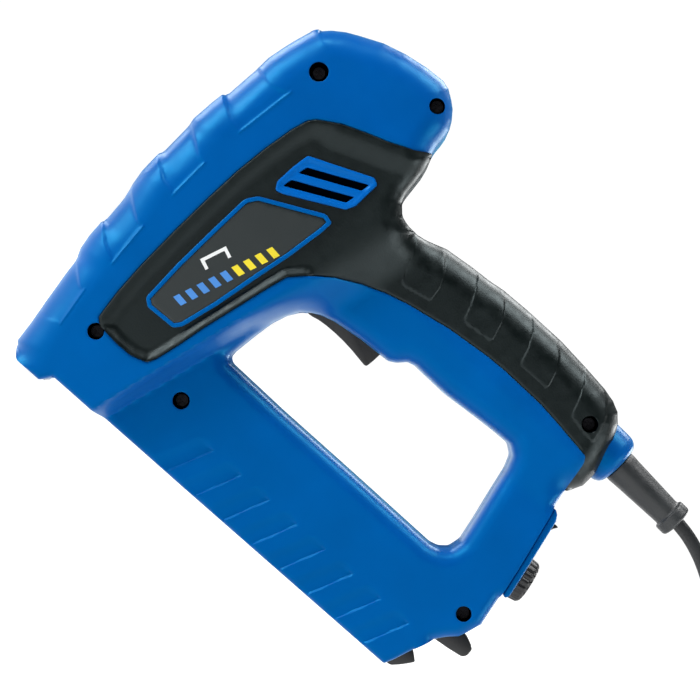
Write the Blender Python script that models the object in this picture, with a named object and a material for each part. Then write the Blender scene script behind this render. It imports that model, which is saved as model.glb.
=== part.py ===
"""Corded electric stapler: a two-part housing with a solenoid head, hand opening, staple magazine and mains cord.

X runs from the nose to the cord, Z up, and the housing parts on the plane Y = 0 (left half at -Y).
The origin is the middle of the nose foot, on the surface that the tool stands on. Every size is in millimetres.
"""

import math

import bmesh
import bpy
import numpy as np
from mathutils import Matrix, Vector
from mathutils.geometry import delaunay_2d_cdt

for stale in list(bpy.data.objects):
    bpy.data.objects.remove(stale)

MM = 0.001
GAP = 0.3
MANIFOLD_PIECES = ("left_shell", "right_shell")

# Driving sizes
HEAD_HALF = 32.0
HANDLE_HALF = 19.5
BODY_HALF = 17.5
HEAD_RADIUS = 9.0
EDGE_RADIUS = 5.0
WALL = 2.5
SKIN = 1.7
SPRING_STEPS = 7
SOLENOID_X = 6.0
BLADE_X = 2.0
CHANNEL_END = 184.0
CORD_DIAMETER = 6.0
LEAD_DIAMETER = 4.8
COIL_CENTRE = (281.0, 47.5)
COIL_INNER, COIL_OUTER, COIL_HEIGHT = 26.7, 39.3, 16.4

# Silhouette from the side, front edge upward, with the proud corner pads
FRONT_EDGE = [
    (-11.5, 4.4), (-13, 6), (-13.7, 16), (-15, 26), (-16.5, 40), (-17, 48), (-18.8, 52.5), (-19.6, 59),
    (-19.6, 66.5), (-18.8, 68.5), (-19, 80), (-20.3, 87.5), (-21, 94), (-20.6, 104.5), (-19.6, 106),
    (-18.9, 121), (-19.3, 125), (-18, 135), (-17, 140.5), (-15.3, 142), (-14.3, 150), (-13, 159.5),
    (-12.6, 165), (-10.5, 173), (-9, 178), (-6.5, 185),
]
TOP_EDGE = [
    (-3, 188), (0, 191), (5, 194.5), (10, 197), (20, 201.5), (30, 204.2), (40, 205.8), (49, 206.3),
    (53, 205.2), (57, 202.5), (60, 200), (63, 196), (65, 192), (65.4, 188), (65.5, 184), (66.3, 180),
]
GRIP_EDGE = [
    (67.5, 177), (68.5, 172), (69.2, 160), (70.4, 156), (74, 152.2), (78, 151), (83, 150.8), (88, 151.8),
    (97, 155), (110, 156.4), (120, 157), (127, 158), (140, 158.3), (160, 158), (174, 156.6), (187, 155),
    (193, 153.5), (197.5, 151.3), (201, 147.5), (204, 141.5), (206.5, 132), (207.6, 125), (207.2, 118),
    (205, 114),
]
REAR_EDGE = [(202, 111), (203, 104)]
PANEL_EDGE = [(206.5, 101.5), (208, 99), (209.6, 90), (211.3, 80), (213, 70), (214.2, 62), (213, 60.3)]
TAIL_EDGE = [
    (211.3, 59), (212.5, 50), (213.2, 45.5), (211, 39), (209.5, 35.5), (205, 31), (202, 27), (198.5, 19),
    (195, 10), (193, 6), (150, 5.8), (80, 5.5), (40, 5.5), (9.5, 5.5), (6, 0.6), (-7, 0.6),
]
PANEL_INNER = [(203.8, 101.5), (207.2, 84), (209.2, 73), (211.0, 61.5)]
HAND_OPENING = [
    (58.5, 59.5), (60.5, 58), (90, 57.2), (130, 57), (175, 56.5), (179, 57.6), (182.5, 60.5), (184, 66),
    (182.5, 76), (180, 90), (178, 102), (176, 107.5), (172, 110.5), (165, 110.4), (155, 109.8), (138, 108.4),
    (124, 108.8), (120, 109), (116.5, 108), (113, 104.5), (110, 102.8), (95, 102), (82, 100.3), (76, 98.6),
    (72, 96.6), (68, 93.5), (64.5, 88.5), (62, 82), (60, 72), (58.4, 62.5),
]

# Edge between the blue housing and the black moulding, from the top of the head round to the handle's end
PARTING_LINE = [
    (202, 111), (201, 118), (200, 125), (198.5, 127.8), (180, 130.5), (170, 131.7), (150, 132.3), (140, 132),
    (120, 130), (100, 126.2), (90, 123.5), (80, 119.5), (70, 114), (60, 106), (55, 101), (52, 92), (49, 82),
    (46, 72), (43, 62), (40, 50), (37, 40), (35, 36), (28, 33.7), (20, 33.5), (10, 34.5), (7.5, 37), (6.5, 50),
    (6.5, 65), (7.5, 85), (9, 105), (10.5, 120), (13, 135), (16, 148), (18.5, 155), (21, 158), (30, 163.5),
    (40, 167.5), (50, 171), (60, 175.5), (66.3, 180),
]
VENT_OUTLINE = [
    (28, 144.5), (55, 156), (58, 154.5), (57, 142), (55, 138), (31, 125.5), (27.5, 124.5), (25.5, 128),
    (26.5, 137),
]
VENT_SLOTS = [
    [(30, 136.5), (31, 140.5), (55.3, 152.2), (54.5, 148.3)],
    [(28.7, 128.2), (29.6, 132.4), (54, 144.3), (53, 140.4)],
]
BADGE_OUTLINE = [
    (21, 114), (24, 118), (50, 131), (54, 130), (53.5, 125), (50, 108), (46, 93), (41, 73), (36, 57),
    (33.5, 54), (20, 53.5), (17, 56), (17.5, 75), (19, 95), (20.5, 112),
]
BADGE_RIM = 1.5

# Thickness: the head narrows to the handle and the magazine across this slanting shoulder
SHOULDER_Z = (0, 75, 105, 150, 210)
SHOULDER_X = (28.5, 51, 60, 68, 72)
SHOULDER_RUN = (7, 8, 22, 30, 30)

SCREW_HEAD_DEPTH = 9.0
HOUSING_SCREWS = [(8.5, 173.5), (54.7, 195.5), (10.5, 31.5), (55.5, 32.5), (191, 139), (204.3, 44)]
FLUTE_COUNT, FLUTE_PITCH, FLUTE_START = 8, 15.7, 66.5
PANEL_TILT = math.atan2(6.0, 36.5)
PANEL_TOP = (208.2, 98.5)
SWITCH_HEIGHT, KNOB_HEIGHT = 94.0, 70.5
COLLAR_CENTRE = (206.0, 0.0, 135.3)
CORD_DROOP = math.radians(3.0)
CORD_AXIS = (math.cos(CORD_DROOP), 0, -math.sin(CORD_DROOP))
TRIGGER_PIVOT = (74.5, 0.0, 105.5)
LATCH_PIVOT = (200.5, 0.0, 31.0)


# Outlines in the XZ plane

def segment_distance(points, loops):
    """Distance of each point from the nearest edge of the loops."""
    points = np.asarray(points, float)
    best = np.full(len(points), np.inf)
    for loop in loops:
        start = np.array(loop, float)
        run = np.roll(start, -1, axis=0) - start
        offset = points[:, None] - start
        along = np.clip((offset * run).sum(2) / (run ** 2).sum(1), 0, 1)
        away = np.linalg.norm(offset - along[..., None] * run, axis=2)
        best = np.minimum(best, away.min(1))
    return best


def inside(points, loops):
    """Whether each point is inside the first loop and outside the others (even-odd rule)."""
    points = np.asarray(points, float)
    crossings = np.zeros(len(points), int)
    for loop in loops:
        a = np.array(loop, float)
        b = np.roll(a, -1, axis=0)
        x, z = points[:, 0, None], points[:, 1, None]
        spans = (a[:, 1] > z) != (b[:, 1] > z)
        rise = np.where(b[:, 1] == a[:, 1], 1.0, b[:, 1] - a[:, 1])
        cut = a[:, 0] + (z - a[:, 1]) * (b[:, 0] - a[:, 0]) / rise
        crossings += (spans & (x < cut)).sum(1)
    return crossings % 2 == 1


def inset(loop, distance):
    """The loop moved towards its inside, or outwards for a negative distance; points that cross over are dropped."""
    points = np.array(loop, float)
    area = np.sum(points[:, 0] * np.roll(points[:, 1], -1) - np.roll(points[:, 0], -1) * points[:, 1])
    before = points - np.roll(points, 1, axis=0)
    after = np.roll(points, -1, axis=0) - points
    before /= np.linalg.norm(before, axis=1)[:, None]
    after /= np.linalg.norm(after, axis=1)[:, None]
    normals = np.stack([-before[:, 1] - after[:, 1], before[:, 0] + after[:, 0]], 1) * math.copysign(1, area)
    normals /= np.linalg.norm(normals, axis=1)[:, None]
    mitre = 1 / np.maximum(0.6, np.sqrt((1 + (before * after).sum(1)) / 2))
    moved = points + normals * distance * mitre[:, None]
    kept = segment_distance(moved, [loop]) > 0.97 * abs(distance)
    return [tuple(p) for p in moved[kept]]


def shifted_line(line, distance):
    """The open line moved to the right of its direction."""
    points = np.array(line, float)
    along = np.gradient(points, axis=0)
    along /= np.linalg.norm(along, axis=1)[:, None]
    return [tuple(p) for p in points + distance * np.stack([along[:, 1], -along[:, 0]], 1)]


def housing_outline(depth):
    """The silhouette with the black moulding taken off to this depth, and the rear panel taken off."""
    return FRONT_EDGE + TOP_EDGE[:-1] + shifted_line(GRIP_BAND, depth) + REAR_EDGE + PANEL_INNER + TAIL_EDGE


GRIP_BAND = TOP_EDGE[-1:] + GRIP_EDGE + REAR_EDGE[:1]
GRIP_POINTS = ((2.5,), 14)
SILHOUETTE = FRONT_EDGE + TOP_EDGE + GRIP_EDGE + REAR_EDGE + PANEL_EDGE + TAIL_EDGE
SHELL_OUTLINE = housing_outline(SKIN + GAP)
GRIP_OUTLINE = GRIP_EDGE + PARTING_LINE


# Thickness of the housing

def smoothstep(t):
    t = np.clip(t, 0, 1)
    return t * t * (3 - 2 * t)


def side_half(points):
    """Half the thickness of the closed housing away from its rounded edges."""
    x, z = points[:, 0], points[:, 1]
    start = np.interp(z, SHOULDER_Z, SHOULDER_X)
    run = np.interp(z, SHOULDER_Z, SHOULDER_RUN)
    slim = np.interp(z, (100, 125), (BODY_HALF, HANDLE_HALF))
    return HEAD_HALF + (slim - HEAD_HALF) * smoothstep((x - start) / run)


def form(points):
    """Half the thickness at each point, with the rounded edges of the silhouette and the hand opening."""
    x, z = points[:, 0], points[:, 1]
    radius = np.where(z > 165, HEAD_RADIUS, np.interp(x, (44, 60), (HEAD_RADIUS, EDGE_RADIUS)))
    depth = np.clip(radius - segment_distance(points, [SILHOUETTE, HAND_OPENING]), 0, radius)
    return side_half(points) - radius + np.sqrt(radius ** 2 - depth ** 2)


def form_less(drop):
    return lambda points: form(points) - drop


def level(y):
    return lambda points: np.full(len(points), float(y))


def cavity_depth(points):
    wall = np.interp(points[:, 1], (28, 34), (WALL, SKIN + GAP + WALL))
    return side_half(points) - wall


def shoulder_line(share):
    """Points up the shoulder, at this share of its run."""
    heights = range(8, 200, 16)
    starts = np.interp(heights, SHOULDER_Z, SHOULDER_X)
    runs = np.interp(heights, SHOULDER_Z, SHOULDER_RUN)
    return [(x + share * run, z) for x, run, z in zip(starts, runs, heights)]


# Materials and objects

def material(name, colour, roughness=0.5, metallic=0.0):
    found = bpy.data.materials.get(name)
    if found:
        return found
    made = bpy.data.materials.new(name)
    made.use_nodes = True
    shader = made.node_tree.nodes["Principled BSDF"]
    shader.inputs["Base Color"].default_value = (*colour, 1)
    shader.inputs["Roughness"].default_value = roughness
    shader.inputs["Metallic"].default_value = metallic
    made.diffuse_color = (*colour, 1)
    return made


BLUE = material("blue_moulding", (0.0, 0.085, 0.35), 0.35)
VENT_BLUE = material("vent_blue", (0.0, 0.13, 0.6), 0.35)
RUBBER = material("black_overmould", (0.017, 0.027, 0.027), 0.6)
BADGE_GREY = material("badge_grey", (0.03, 0.045, 0.045), 0.4)
BLACK = material("black_plastic", (0.01, 0.01, 0.012), 0.4)
STEEL = material("steel", (0.55, 0.56, 0.58), 0.3, 1.0)
ZINC = material("zinc_screw", (0.32, 0.32, 0.34), 0.35, 1.0)
COPPER = material("copper_winding", (0.55, 0.2, 0.08), 0.4, 1.0)
WHITE_PLASTIC = material("bobbin_plastic", (0.75, 0.74, 0.68), 0.5)
BUMPER = material("bumper_rubber", (0.03, 0.03, 0.03), 0.8)
BOARD_GREEN = material("circuit_board_green", (0.02, 0.16, 0.06), 0.5)
CORD_GREY = material("cord_grey", (0.03, 0.035, 0.04), 0.55)


def add_object(name, mesh, look, smooth=35):
    """An object from a mesh in metres, shaded smooth up to the given angle."""
    made = bpy.data.objects.new(name, mesh)
    bpy.context.scene.collection.objects.link(made)
    if look:
        mesh.materials.append(look)
    mesh.shade_smooth()
    mesh.set_sharp_from_angle(angle=math.radians(smooth))
    return made


def from_bmesh(name, shape, look):
    """Closes a bmesh in millimetres into an object in metres."""
    bmesh.ops.recalc_face_normals(shape, faces=shape.faces)
    bmesh.ops.scale(shape, vec=(MM, MM, MM), verts=shape.verts)
    mesh = bpy.data.meshes.new(name)
    shape.to_mesh(mesh)
    shape.free()
    return add_object(name, mesh, look)


def refined(loop, longest):
    """The loop with its long edges divided."""
    points = []
    for (x, z), (next_x, next_z) in zip(loop, loop[1:] + loop[:1]):
        parts = math.ceil(math.hypot(next_x - x, next_z - z) / longest)
        points += [(x + (next_x - x) * k / parts, z + (next_z - z) * k / parts) for k in range(parts)]
    return points


def slab(name, loops, side, low, high, look, rings=(), step=0.0):
    """A solid over the region inside the first loop and outside the others.

    It runs from the height function low to the height function high, measured from Y = 0 towards the given side.
    Rings add points at those distances from the loops, and a step adds a grid of points.
    """
    if rings:
        loops = [refined(loop, step) for loop in loops]
    points = [Vector(p) for loop in loops for p in loop]
    edges = []
    first = 0
    for loop in loops:
        count = len(loop)
        edges += [(first + k, first + (k + 1) % count) for k in range(count)]
        first += count
    extra = []
    for ring in rings:
        for k, loop in enumerate(loops):
            extra += inset(loop, ring if k == 0 else -ring)
    reach = max(rings, default=0.0)
    if step:
        corner, far = np.min(loops[0], axis=0), np.max(loops[0], axis=0)
        grid = [(x, z) for x in np.arange(corner[0], far[0], step) for z in np.arange(corner[1], far[1], step)]
        grid = [p for p in grid if segment_distance([p], [shoulder_line(0.5)])[0] > 0.7 * step]
        grid += [p for share in (0, 0.5, 1) for p in shoulder_line(share)]
        extra += [p for p, d in zip(grid, segment_distance(grid, loops)) if d > reach + 0.3 * step]
    if extra:
        clear = segment_distance(extra, loops) > 0.4
        extra = [p for p, near, held in zip(extra, clear, inside(extra, loops)) if near and held]
    flat, _, faces, _, _, _ = delaunay_2d_cdt(points + [Vector(p) for p in extra], edges, [], 0, 1e-6)
    flat = np.array([tuple(p) for p in flat])
    centres = np.array([flat[list(face)].mean(0) for face in faces])
    faces = [face for face, kept in zip(faces, inside(centres, loops)) if kept]
    shape = bmesh.new()
    tops = [shape.verts.new((x, side * y, z)) for (x, z), y in zip(flat, high(flat))]
    bottoms = [shape.verts.new((x, side * y, z)) for (x, z), y in zip(flat, low(flat))]
    uses = {}
    for face in faces:
        shape.faces.new([tops[k] for k in face])
        shape.faces.new([bottoms[k] for k in reversed(face)])
        for a, b in zip(face, list(face[1:]) + [face[0]]):
            uses.setdefault(tuple(sorted((a, b))), []).append((a, b))
    for pair in uses.values():
        if len(pair) == 1:
            a, b = pair[0]
            shape.faces.new([tops[b], tops[a], bottoms[a], bottoms[b]])
    bmesh.ops.delete(shape, geom=[v for v in shape.verts if not v.link_faces], context="VERTS")
    bmesh.ops.recalc_face_normals(shape, faces=shape.faces)
    bmesh.ops.dissolve_limit(
        shape, angle_limit=math.radians(0.2), verts=shape.verts, edges=shape.edges
    )
    bmesh.ops.triangulate(shape, faces=shape.faces)
    return from_bmesh(name, shape, look)


def prism(name, outline, y, look):
    """The outline in XZ, extruded along Y between the two values of y."""
    shape = bmesh.new()
    near = [shape.verts.new((x, y[0], z)) for x, z in outline]
    far = [shape.verts.new((x, y[1], z)) for x, z in outline]
    shape.faces.new(near)
    shape.faces.new(list(reversed(far)))
    for k in range(len(outline)):
        n = (k + 1) % len(outline)
        shape.faces.new([near[n], near[k], far[k], far[n]])
    return from_bmesh(name, shape, look)


def box(name, x, y, z, look):
    return prism(name, [(x[0], z[0]), (x[1], z[0]), (x[1], z[1]), (x[0], z[1])], y, look)


def turned(name, profile, origin, axis, look, segments=20):
    """A closed (radius, height) profile turned about an axis through the origin."""
    shape = bmesh.new()
    rows = []
    for k in range(segments):
        turn = 2 * math.pi * k / segments
        rows.append([(r * math.cos(turn), r * math.sin(turn), h) for r, h in profile])
    points = [[shape.verts.new(p) for p in row] for row in rows]
    for k in range(segments):
        here, after = points[k], points[(k + 1) % segments]
        for j in range(len(profile)):
            n = (j + 1) % len(profile)
            if profile[j][0] < 1e-6 and profile[n][0] < 1e-6:
                continue
            shape.faces.new([here[j], after[j], after[n], here[n]])
    bmesh.ops.remove_doubles(shape, verts=shape.verts, dist=1e-5)
    turn = Vector((0, 0, 1)).rotation_difference(Vector(axis)).to_matrix().to_4x4()
    bmesh.ops.transform(shape, matrix=Matrix.Translation(origin) @ turn, verts=shape.verts)
    return from_bmesh(name, shape, look)


def rod(name, origin, axis, radius, start, end, look, segments=16):
    return turned(name, [(0, start), (radius, start), (radius, end), (0, end)], origin, axis, look, segments)


def tube(name, points, radius, look, sides_resolution=2):
    """A round wire or cord along the points, with closed ends."""
    curve = bpy.data.curves.new(name, "CURVE")
    curve.dimensions = "3D"
    curve.bevel_depth = radius * MM
    curve.bevel_resolution = sides_resolution
    curve.use_fill_caps = True
    spline = curve.splines.new("POLY")
    spline.points.add(len(points) - 1)
    for spot, (x, y, z) in zip(spline.points, points):
        spot.co = (x * MM, y * MM, z * MM, 1)
    curve.materials.append(look)
    made = bpy.data.objects.new(name, curve)
    bpy.context.scene.collection.objects.link(made)
    return made


def coil_spring(name, origin, axis, radius, wire, length, turns, look):
    """A compression spring along the axis, from the origin."""
    across = Vector((0, 0, 1)).rotation_difference(Vector(axis)).to_matrix()
    steps = SPRING_STEPS * turns
    points = []
    for k in range(steps + 1):
        turn = 2 * math.pi * k / SPRING_STEPS
        rise = wire / 2 + (length - wire) * k / steps
        spot = across @ Vector((radius * math.cos(turn), radius * math.sin(turn), rise))
        points.append(tuple(Vector(origin) + spot))
    return tube(name, points, wire / 2, look, 0)


def boolean(target, other, operation):
    """Adds or cuts the other object, which is kept as a hidden guide.

    The exact solver leaves open edges in the shells, so they take the manifold one.
    """
    other.hide_render = True
    other.display_type = "WIRE"
    change = target.modifiers.new(other.name, "BOOLEAN")
    change.operation = operation
    change.object = other
    change.solver = "MANIFOLD" if target.name in MANIFOLD_PIECES else "EXACT"


def cut(target, *cutters):
    for cutter in cutters:
        boolean(target, cutter, "DIFFERENCE")


def join(target, *pieces):
    for piece in pieces:
        boolean(target, piece, "UNION")


def set_origin(made, point):
    """Moves an object's origin to a joint's axis without moving its shape."""
    offset = Vector(point) * MM
    made.data.transform(Matrix.Translation(-offset))
    made.location = offset


def at_panel(height):
    """Point on the rear panel's face at this height."""
    return (PANEL_TOP[0] + (PANEL_TOP[1] - height) * math.tan(PANEL_TILT), 0, height)


PANEL_NORMAL = (math.cos(PANEL_TILT), 0, math.sin(PANEL_TILT))


def on_panel(shape_object, height):
    """Turns a piece modelled about the origin, with X outwards, onto the rear panel."""
    matrix = Matrix.Translation(Vector(at_panel(height)) * MM) @ Matrix.Rotation(-PANEL_TILT, 4, "Y")
    shape_object.data.transform(matrix)
    return shape_object


# Housing

def local_half(spot):
    return float(side_half(np.array([spot], float))[0])


def screw_boss(name, spot, side):
    radius = 4.9 if side < 0 else 4.2
    return rod(name, (spot[0], 0, spot[1]), (0, side, 0), radius, 2 * GAP, local_half(spot) - 2.3, None, 12)


def screw_bore(name, spot, side):
    """Left: a recess for the head and a through hole. Right: a blind hole for the thread."""
    floor = local_half(spot) - SCREW_HEAD_DEPTH
    profile = [(0, -1), (1.7, -1), (1.7, floor), (3.5, floor), (3.5, 60), (0, 60)]
    if side > 0:
        profile = [(0, -1), (1.7, -1), (1.7, floor), (0, floor)]
    return turned(name, profile, (spot[0], 0, spot[1]), (0, side, 0), None, 12)


def flutes(name, side):
    """Slanted shallow grooves on the magazine's side, as one comb joined by a bar outside the housing."""
    comb = box(name, (60, 200), sorted((side * 24, side * 26)), (10, 12), None)
    for k in range(FLUTE_COUNT):
        foot = FLUTE_START + k * FLUTE_PITCH
        outline = [(foot, 7.5), (foot + 5.5, 7.5), (foot + 13.2, 25.5), (foot + 7.7, 25.5)]
        blade = prism(f"{name}_{k}", outline, sorted((side * (BODY_HALF - 0.8), side * 25)), None)
        join(comb, blade)
    return comb


def shell(prefix, side):
    made = slab(f"{prefix}_shell", [SHELL_OUTLINE, HAND_OPENING], side, level(GAP / 2), form, BLUE, (2.5,), 14)
    cavity = [inset(SHELL_OUTLINE, WALL), inset(HAND_OPENING, -WALL)]
    recess = slab(f"{prefix}_grip_recess", [GRIP_OUTLINE], side, form_less(SKIN + GAP), level(60), None, *GRIP_POINTS)
    cut(
        made,
        recess,
        slab(f"{prefix}_cavity", cavity, side, level(-5), cavity_depth, None, (), 20),
        flutes(f"{prefix}_flutes", side),
    )
    for k, spot in enumerate(HOUSING_SCREWS):
        join(made, screw_boss(f"{prefix}_boss_{k}", spot, side))
    for k, spot in enumerate(HOUSING_SCREWS):
        cut(made, screw_bore(f"{prefix}_bore_{k}", spot, side))
    rim = [inset(BADGE_OUTLINE, GAP), inset(BADGE_OUTLINE, BADGE_RIM)]
    join(made, slab(f"{prefix}_badge_rim", rim, side, form_less(SKIN + 1.5), form_less(0.3), None))
    for k, (spot, root) in enumerate(((TRIGGER_PIVOT, 19), (LATCH_PIVOT, 14.5))):
        join(made, rod(f"{prefix}_pin_boss_{k}", spot, (0, side, 0), 3.4, 8.0, root, None, 12))
        cut(made, rod(f"{prefix}_pin_bore_{k}", spot, (0, side, 0), 1.8, 5, 11, None, 12))
    cut(
        made,
        box(f"{prefix}_nose_gap", (-6.4, 6.4), (-10.4, 10.4), (-2, 8), None),
        box(f"{prefix}_drawer_gap", (186, 210), (-7.6, 7.6), (4, 19.2), None),
        box(f"{prefix}_latch_gap", (196, 222), (-7.6, 7.6), (24, 39), None),
        box(f"{prefix}_trigger_gap", (67.5, 108), (-7.4, 7.4), (88, 112), None),
        rod(f"{prefix}_collar_gap", COLLAR_CENTRE, CORD_AXIS, 12.5, -7.3, 20, None, 24),
        rod(f"{prefix}_flange_gap", COLLAR_CENTRE, CORD_AXIS, 8.8, -10.1, -6, None),
        on_panel(box(f"{prefix}_switch_gap", (-12, 6), (-8.2, 8.2), (-6.7, 6.7), None), SWITCH_HEIGHT),
        rod(f"{prefix}_dial_gap", at_panel(KNOB_HEIGHT), PANEL_NORMAL, 8.6, -14, 6, None),
    )
    return made


def grip(prefix, side):
    """Soft black moulding that covers the head's side and wraps over the handle."""
    made = slab(f"{prefix}_grip", [GRIP_OUTLINE], side, form_less(SKIN), form, RUBBER, *GRIP_POINTS)
    band = GRIP_BAND + shifted_line(GRIP_BAND, SKIN)[::-1]
    join(made, slab(f"{prefix}_grip_wrap", [band], side, level(GAP / 2), form, None))
    trim = prism(f"{prefix}_grip_trim", inset(GRIP_OUTLINE, GAP), (-60, 60), None)
    boolean(made, trim, "INTERSECT")
    cut(
        made,
        slab(f"{prefix}_vent_window", [VENT_OUTLINE], side, level(5), level(60), None),
        slab(f"{prefix}_badge_window", [BADGE_OUTLINE], side, level(5), level(60), None),
        rod(f"{prefix}_grip_collar_gap", COLLAR_CENTRE, CORD_AXIS, 12.5, -7.3, 20, None, 24),
    )
    if side < 0:
        cut(made, rod(f"{prefix}_grip_screw_gap", (191, 0, 139), (0, side, 0), 3.6, 5, 60, None))
    return made


def vent(prefix, side):
    """Louvred insert in the black moulding, over slots that also go through the housing."""
    outline = inset(VENT_OUTLINE, GAP)
    made = slab(f"{prefix}_vent", [outline], side, form_less(SKIN), form_less(0.4), VENT_BLUE)
    for k, slot in enumerate(VENT_SLOTS):
        cut(made, slab(f"{prefix}_vent_slot_{k}", [slot], side, level(5), level(60), None))
    return made


def badge(prefix, side):
    outline = inset(BADGE_OUTLINE, BADGE_RIM + GAP)
    return slab(f"{prefix}_badge", [outline], side, form_less(SKIN), form_less(0.6), BADGE_GREY)


def rear_panel():
    """Panel on the rear upright, with holes for the rocker switch and the power dial."""
    inner = [(x + GAP, z) for x, z in reversed(PANEL_INNER)]
    outline = [(204.3, 103.0)] + PANEL_EDGE + inner
    made = prism("rear_panel", outline, (-14.5, 14.5), BLUE)
    cut(
        made,
        on_panel(box("panel_switch_gap", (-8, 6), (-7.0, 7.0), (-5.6, 5.6), None), SWITCH_HEIGHT),
        rod("panel_dial_gap", at_panel(KNOB_HEIGHT), PANEL_NORMAL, 3.6, -8, 6, None),
    )
    return made


def housing_screw(number, spot):
    """Cross-head screw from the left half into the right half's boss."""
    floor = -(local_half(spot) - SCREW_HEAD_DEPTH) - GAP
    profile = [(0, floor - 2.4), (2.6, floor - 2.2), (2.9, floor), (1.4, floor), (1.4, 6.0), (0, 7.2)]
    made = turned(f"housing_screw_{number}", profile, (spot[0], 0, spot[1]), (0, 1, 0), ZINC, 12)
    for k, (wide, tall) in enumerate(((1.8, 0.4), (0.4, 1.8))):
        x = (spot[0] - wide, spot[0] + wide)
        z = (spot[1] - tall, spot[1] + tall)
        cut(made, box(f"screw_slot_{number}_{k}", x, (floor - 4, floor - 1.2), z, None))
    return made


# Driving mechanism in the head

def solenoid():
    """Steel yoke, bobbin, winding, plunger with its blade and spring, and the two end bumpers."""
    axis = (SOLENOID_X, 0, 0)
    up = (0, 0, 1)
    yoke = box("solenoid_yoke", (-8, 20), (-21, 21), (68, 128), STEEL)
    cut(
        yoke,
        box("yoke_window", (-9, 21), (-18, 18), (71, 125), None),
        rod("yoke_bore", axis, up, 7.8, 60, 140, None, 24),
    )
    bobbin_profile = [
        (7.6, 71.3), (15.5, 71.3), (15.5, 73.3), (9.2, 73.3), (9.2, 122.7), (15.5, 122.7), (15.5, 124.7),
        (7.6, 124.7),
    ]
    turned("coil_bobbin", bobbin_profile, axis, up, WHITE_PLASTIC, 16)
    winding_profile = [(9.5, 73.6), (15.0, 73.6), (15.0, 122.4), (9.5, 122.4)]
    turned("coil_winding", winding_profile, axis, up, COPPER, 16)
    plunger_profile = [(0, 88), (7.2, 88), (7.2, 158), (11, 158), (11, 161), (0, 161)]
    turned("armature", plunger_profile, axis, up, STEEL, 20)
    box("driver_blade", (BLADE_X - 0.6, BLADE_X + 0.6), (-5.5, 5.5), (21, 87.7), STEEL)
    coil_spring("return_spring", (SOLENOID_X, 0, 128.3), up, 9.0, 1.2, 29.4, 7, STEEL)
    rod("upper_bumper", axis, up, 9.0, 161.3, 166.0, BUMPER, 16)
    lower = box("lower_bumper", (-3, 15), (-9, 9), (60.3, 67.7), BUMPER)
    cut(lower, box("bumper_slot", (BLADE_X - 1, BLADE_X + 1), (-6, 6), (55, 70), None))


def nose_guide():
    """Steel nose with the slot that the blade and the staple leave through."""
    guide = box("nose_guide", (-2.5, 4.8), (-8, 8), (2, 60), STEEL)
    join(guide, box("nose_foot", (-6, 6), (-10, 10), (0, 7.5), None))
    cut(
        guide,
        box("blade_slot", (BLADE_X - 0.9, BLADE_X + 0.9), (-5.8, 5.8), (-2, 62), None),
        box("staple_window", (BLADE_X, 7), (-5.8, 5.8), (8.6, 20.8), None),
    )
    return guide


# Magazine

def extruded_along_x(name, outline, x, look):
    """The outline in YZ, extruded between the two values of x."""
    shape = bmesh.new()
    near = [shape.verts.new((x[0], y, z)) for y, z in outline]
    far = [shape.verts.new((x[1], y, z)) for y, z in outline]
    for k in range(len(outline)):
        n = (k + 1) % len(outline)
        shape.faces.new([near[k], near[n], far[n], far[k]])
    shape.faces.new(near)
    shape.faces.new(list(reversed(far)))
    shape.normal_update()
    bmesh.ops.triangulate(shape, faces=shape.faces)
    return from_bmesh(name, shape, look)


def inverted_channel(name, x, half, z, wall, look, tongue=()):
    """A channel open below: top and two sides of the given wall thickness, with an optional middle tongue."""
    roof = z[1] - wall
    outline = [(-half, z[0]), (-half, z[1]), (half, z[1]), (half, z[0]), (half - wall, z[0]), (half - wall, roof)]
    if tongue:
        reach, foot = tongue
        outline += [(reach, roof), (reach, foot), (-reach, foot), (-reach, roof)]
    outline += [(wall - half, roof), (wall - half, z[0])]
    return extruded_along_x(name, outline, x, look)


def magazine():
    """Fixed channel, and the drawer that slides out behind with its rail, guide rod, pusher and tail."""
    inverted_channel("magazine_channel", (6.3, CHANNEL_END), 7.2, (8.9, 22.6), 1.3, STEEL)
    inverted_channel("staple_strip", (3.2, 66), 5.3, (9.4, 20.0), 0.7, STEEL)
    rail = box("magazine_rail", (5.4, 188), (-3.8, 3.8), (8.6, 18.8), STEEL)
    cut(rail, box("rail_groove", (8, 186), (-2.8, 2.8), (9.8, 25), None))
    rod("guide_rod", (0, 0, 14.2), (1, 0, 0), 0.9, 8.4, 185.6, STEEL, 10)
    pusher = inverted_channel("pusher", (66.6, 84), 5.3, (9.6, 20.2), 0.9, ZINC, (2.3, 11.6))
    cut(pusher, rod("pusher_bore", (0, 0, 14.2), (1, 0, 0), 1.3, 60, 90, None, 10))
    coil_spring("pusher_spring", (84.4, 0, 14.2), (1, 0, 0), 2.0, 0.7, 101.0, 12, STEEL)
    tail_outline = [
        (188.3, 8.6), (191, 7.4), (193.4, 6.2), (196.5, 6.6), (199, 9), (203.5, 14.5), (198.8, 18.1), (188.3, 18.1),
    ]
    prism("magazine_tail", tail_outline, (-7.2, 7.2), BLACK)


def latch():
    """Thumb lever over the drawer's tail, on a cross pin, with its return spring."""
    outline = [
        (189.5, 19.6), (192.5, 19.6), (192.5, 28.0), (203, 27.2), (217, 29.2), (218.4, 31), (218.4, 34.4),
        (214, 36.8), (207, 37.4), (202, 35.5), (189.5, 33.5),
    ]
    lever = prism("magazine_latch", outline, (-6.0, 6.0), BLACK)
    cut(lever, rod("latch_bore", LATCH_PIVOT, (0, 1, 0), 1.8, -10, 10, None, 12))
    set_origin(lever, LATCH_PIVOT)
    rod("latch_pin", LATCH_PIVOT, (0, 1, 0), 1.5, -10.7, 10.7, STEEL, 12)
    coil_spring("latch_spring", (193, 0, 34.5), (0, 0, 1), 2.4, 0.6, 9.0, 4, STEEL)


# Trigger and electrics

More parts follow.
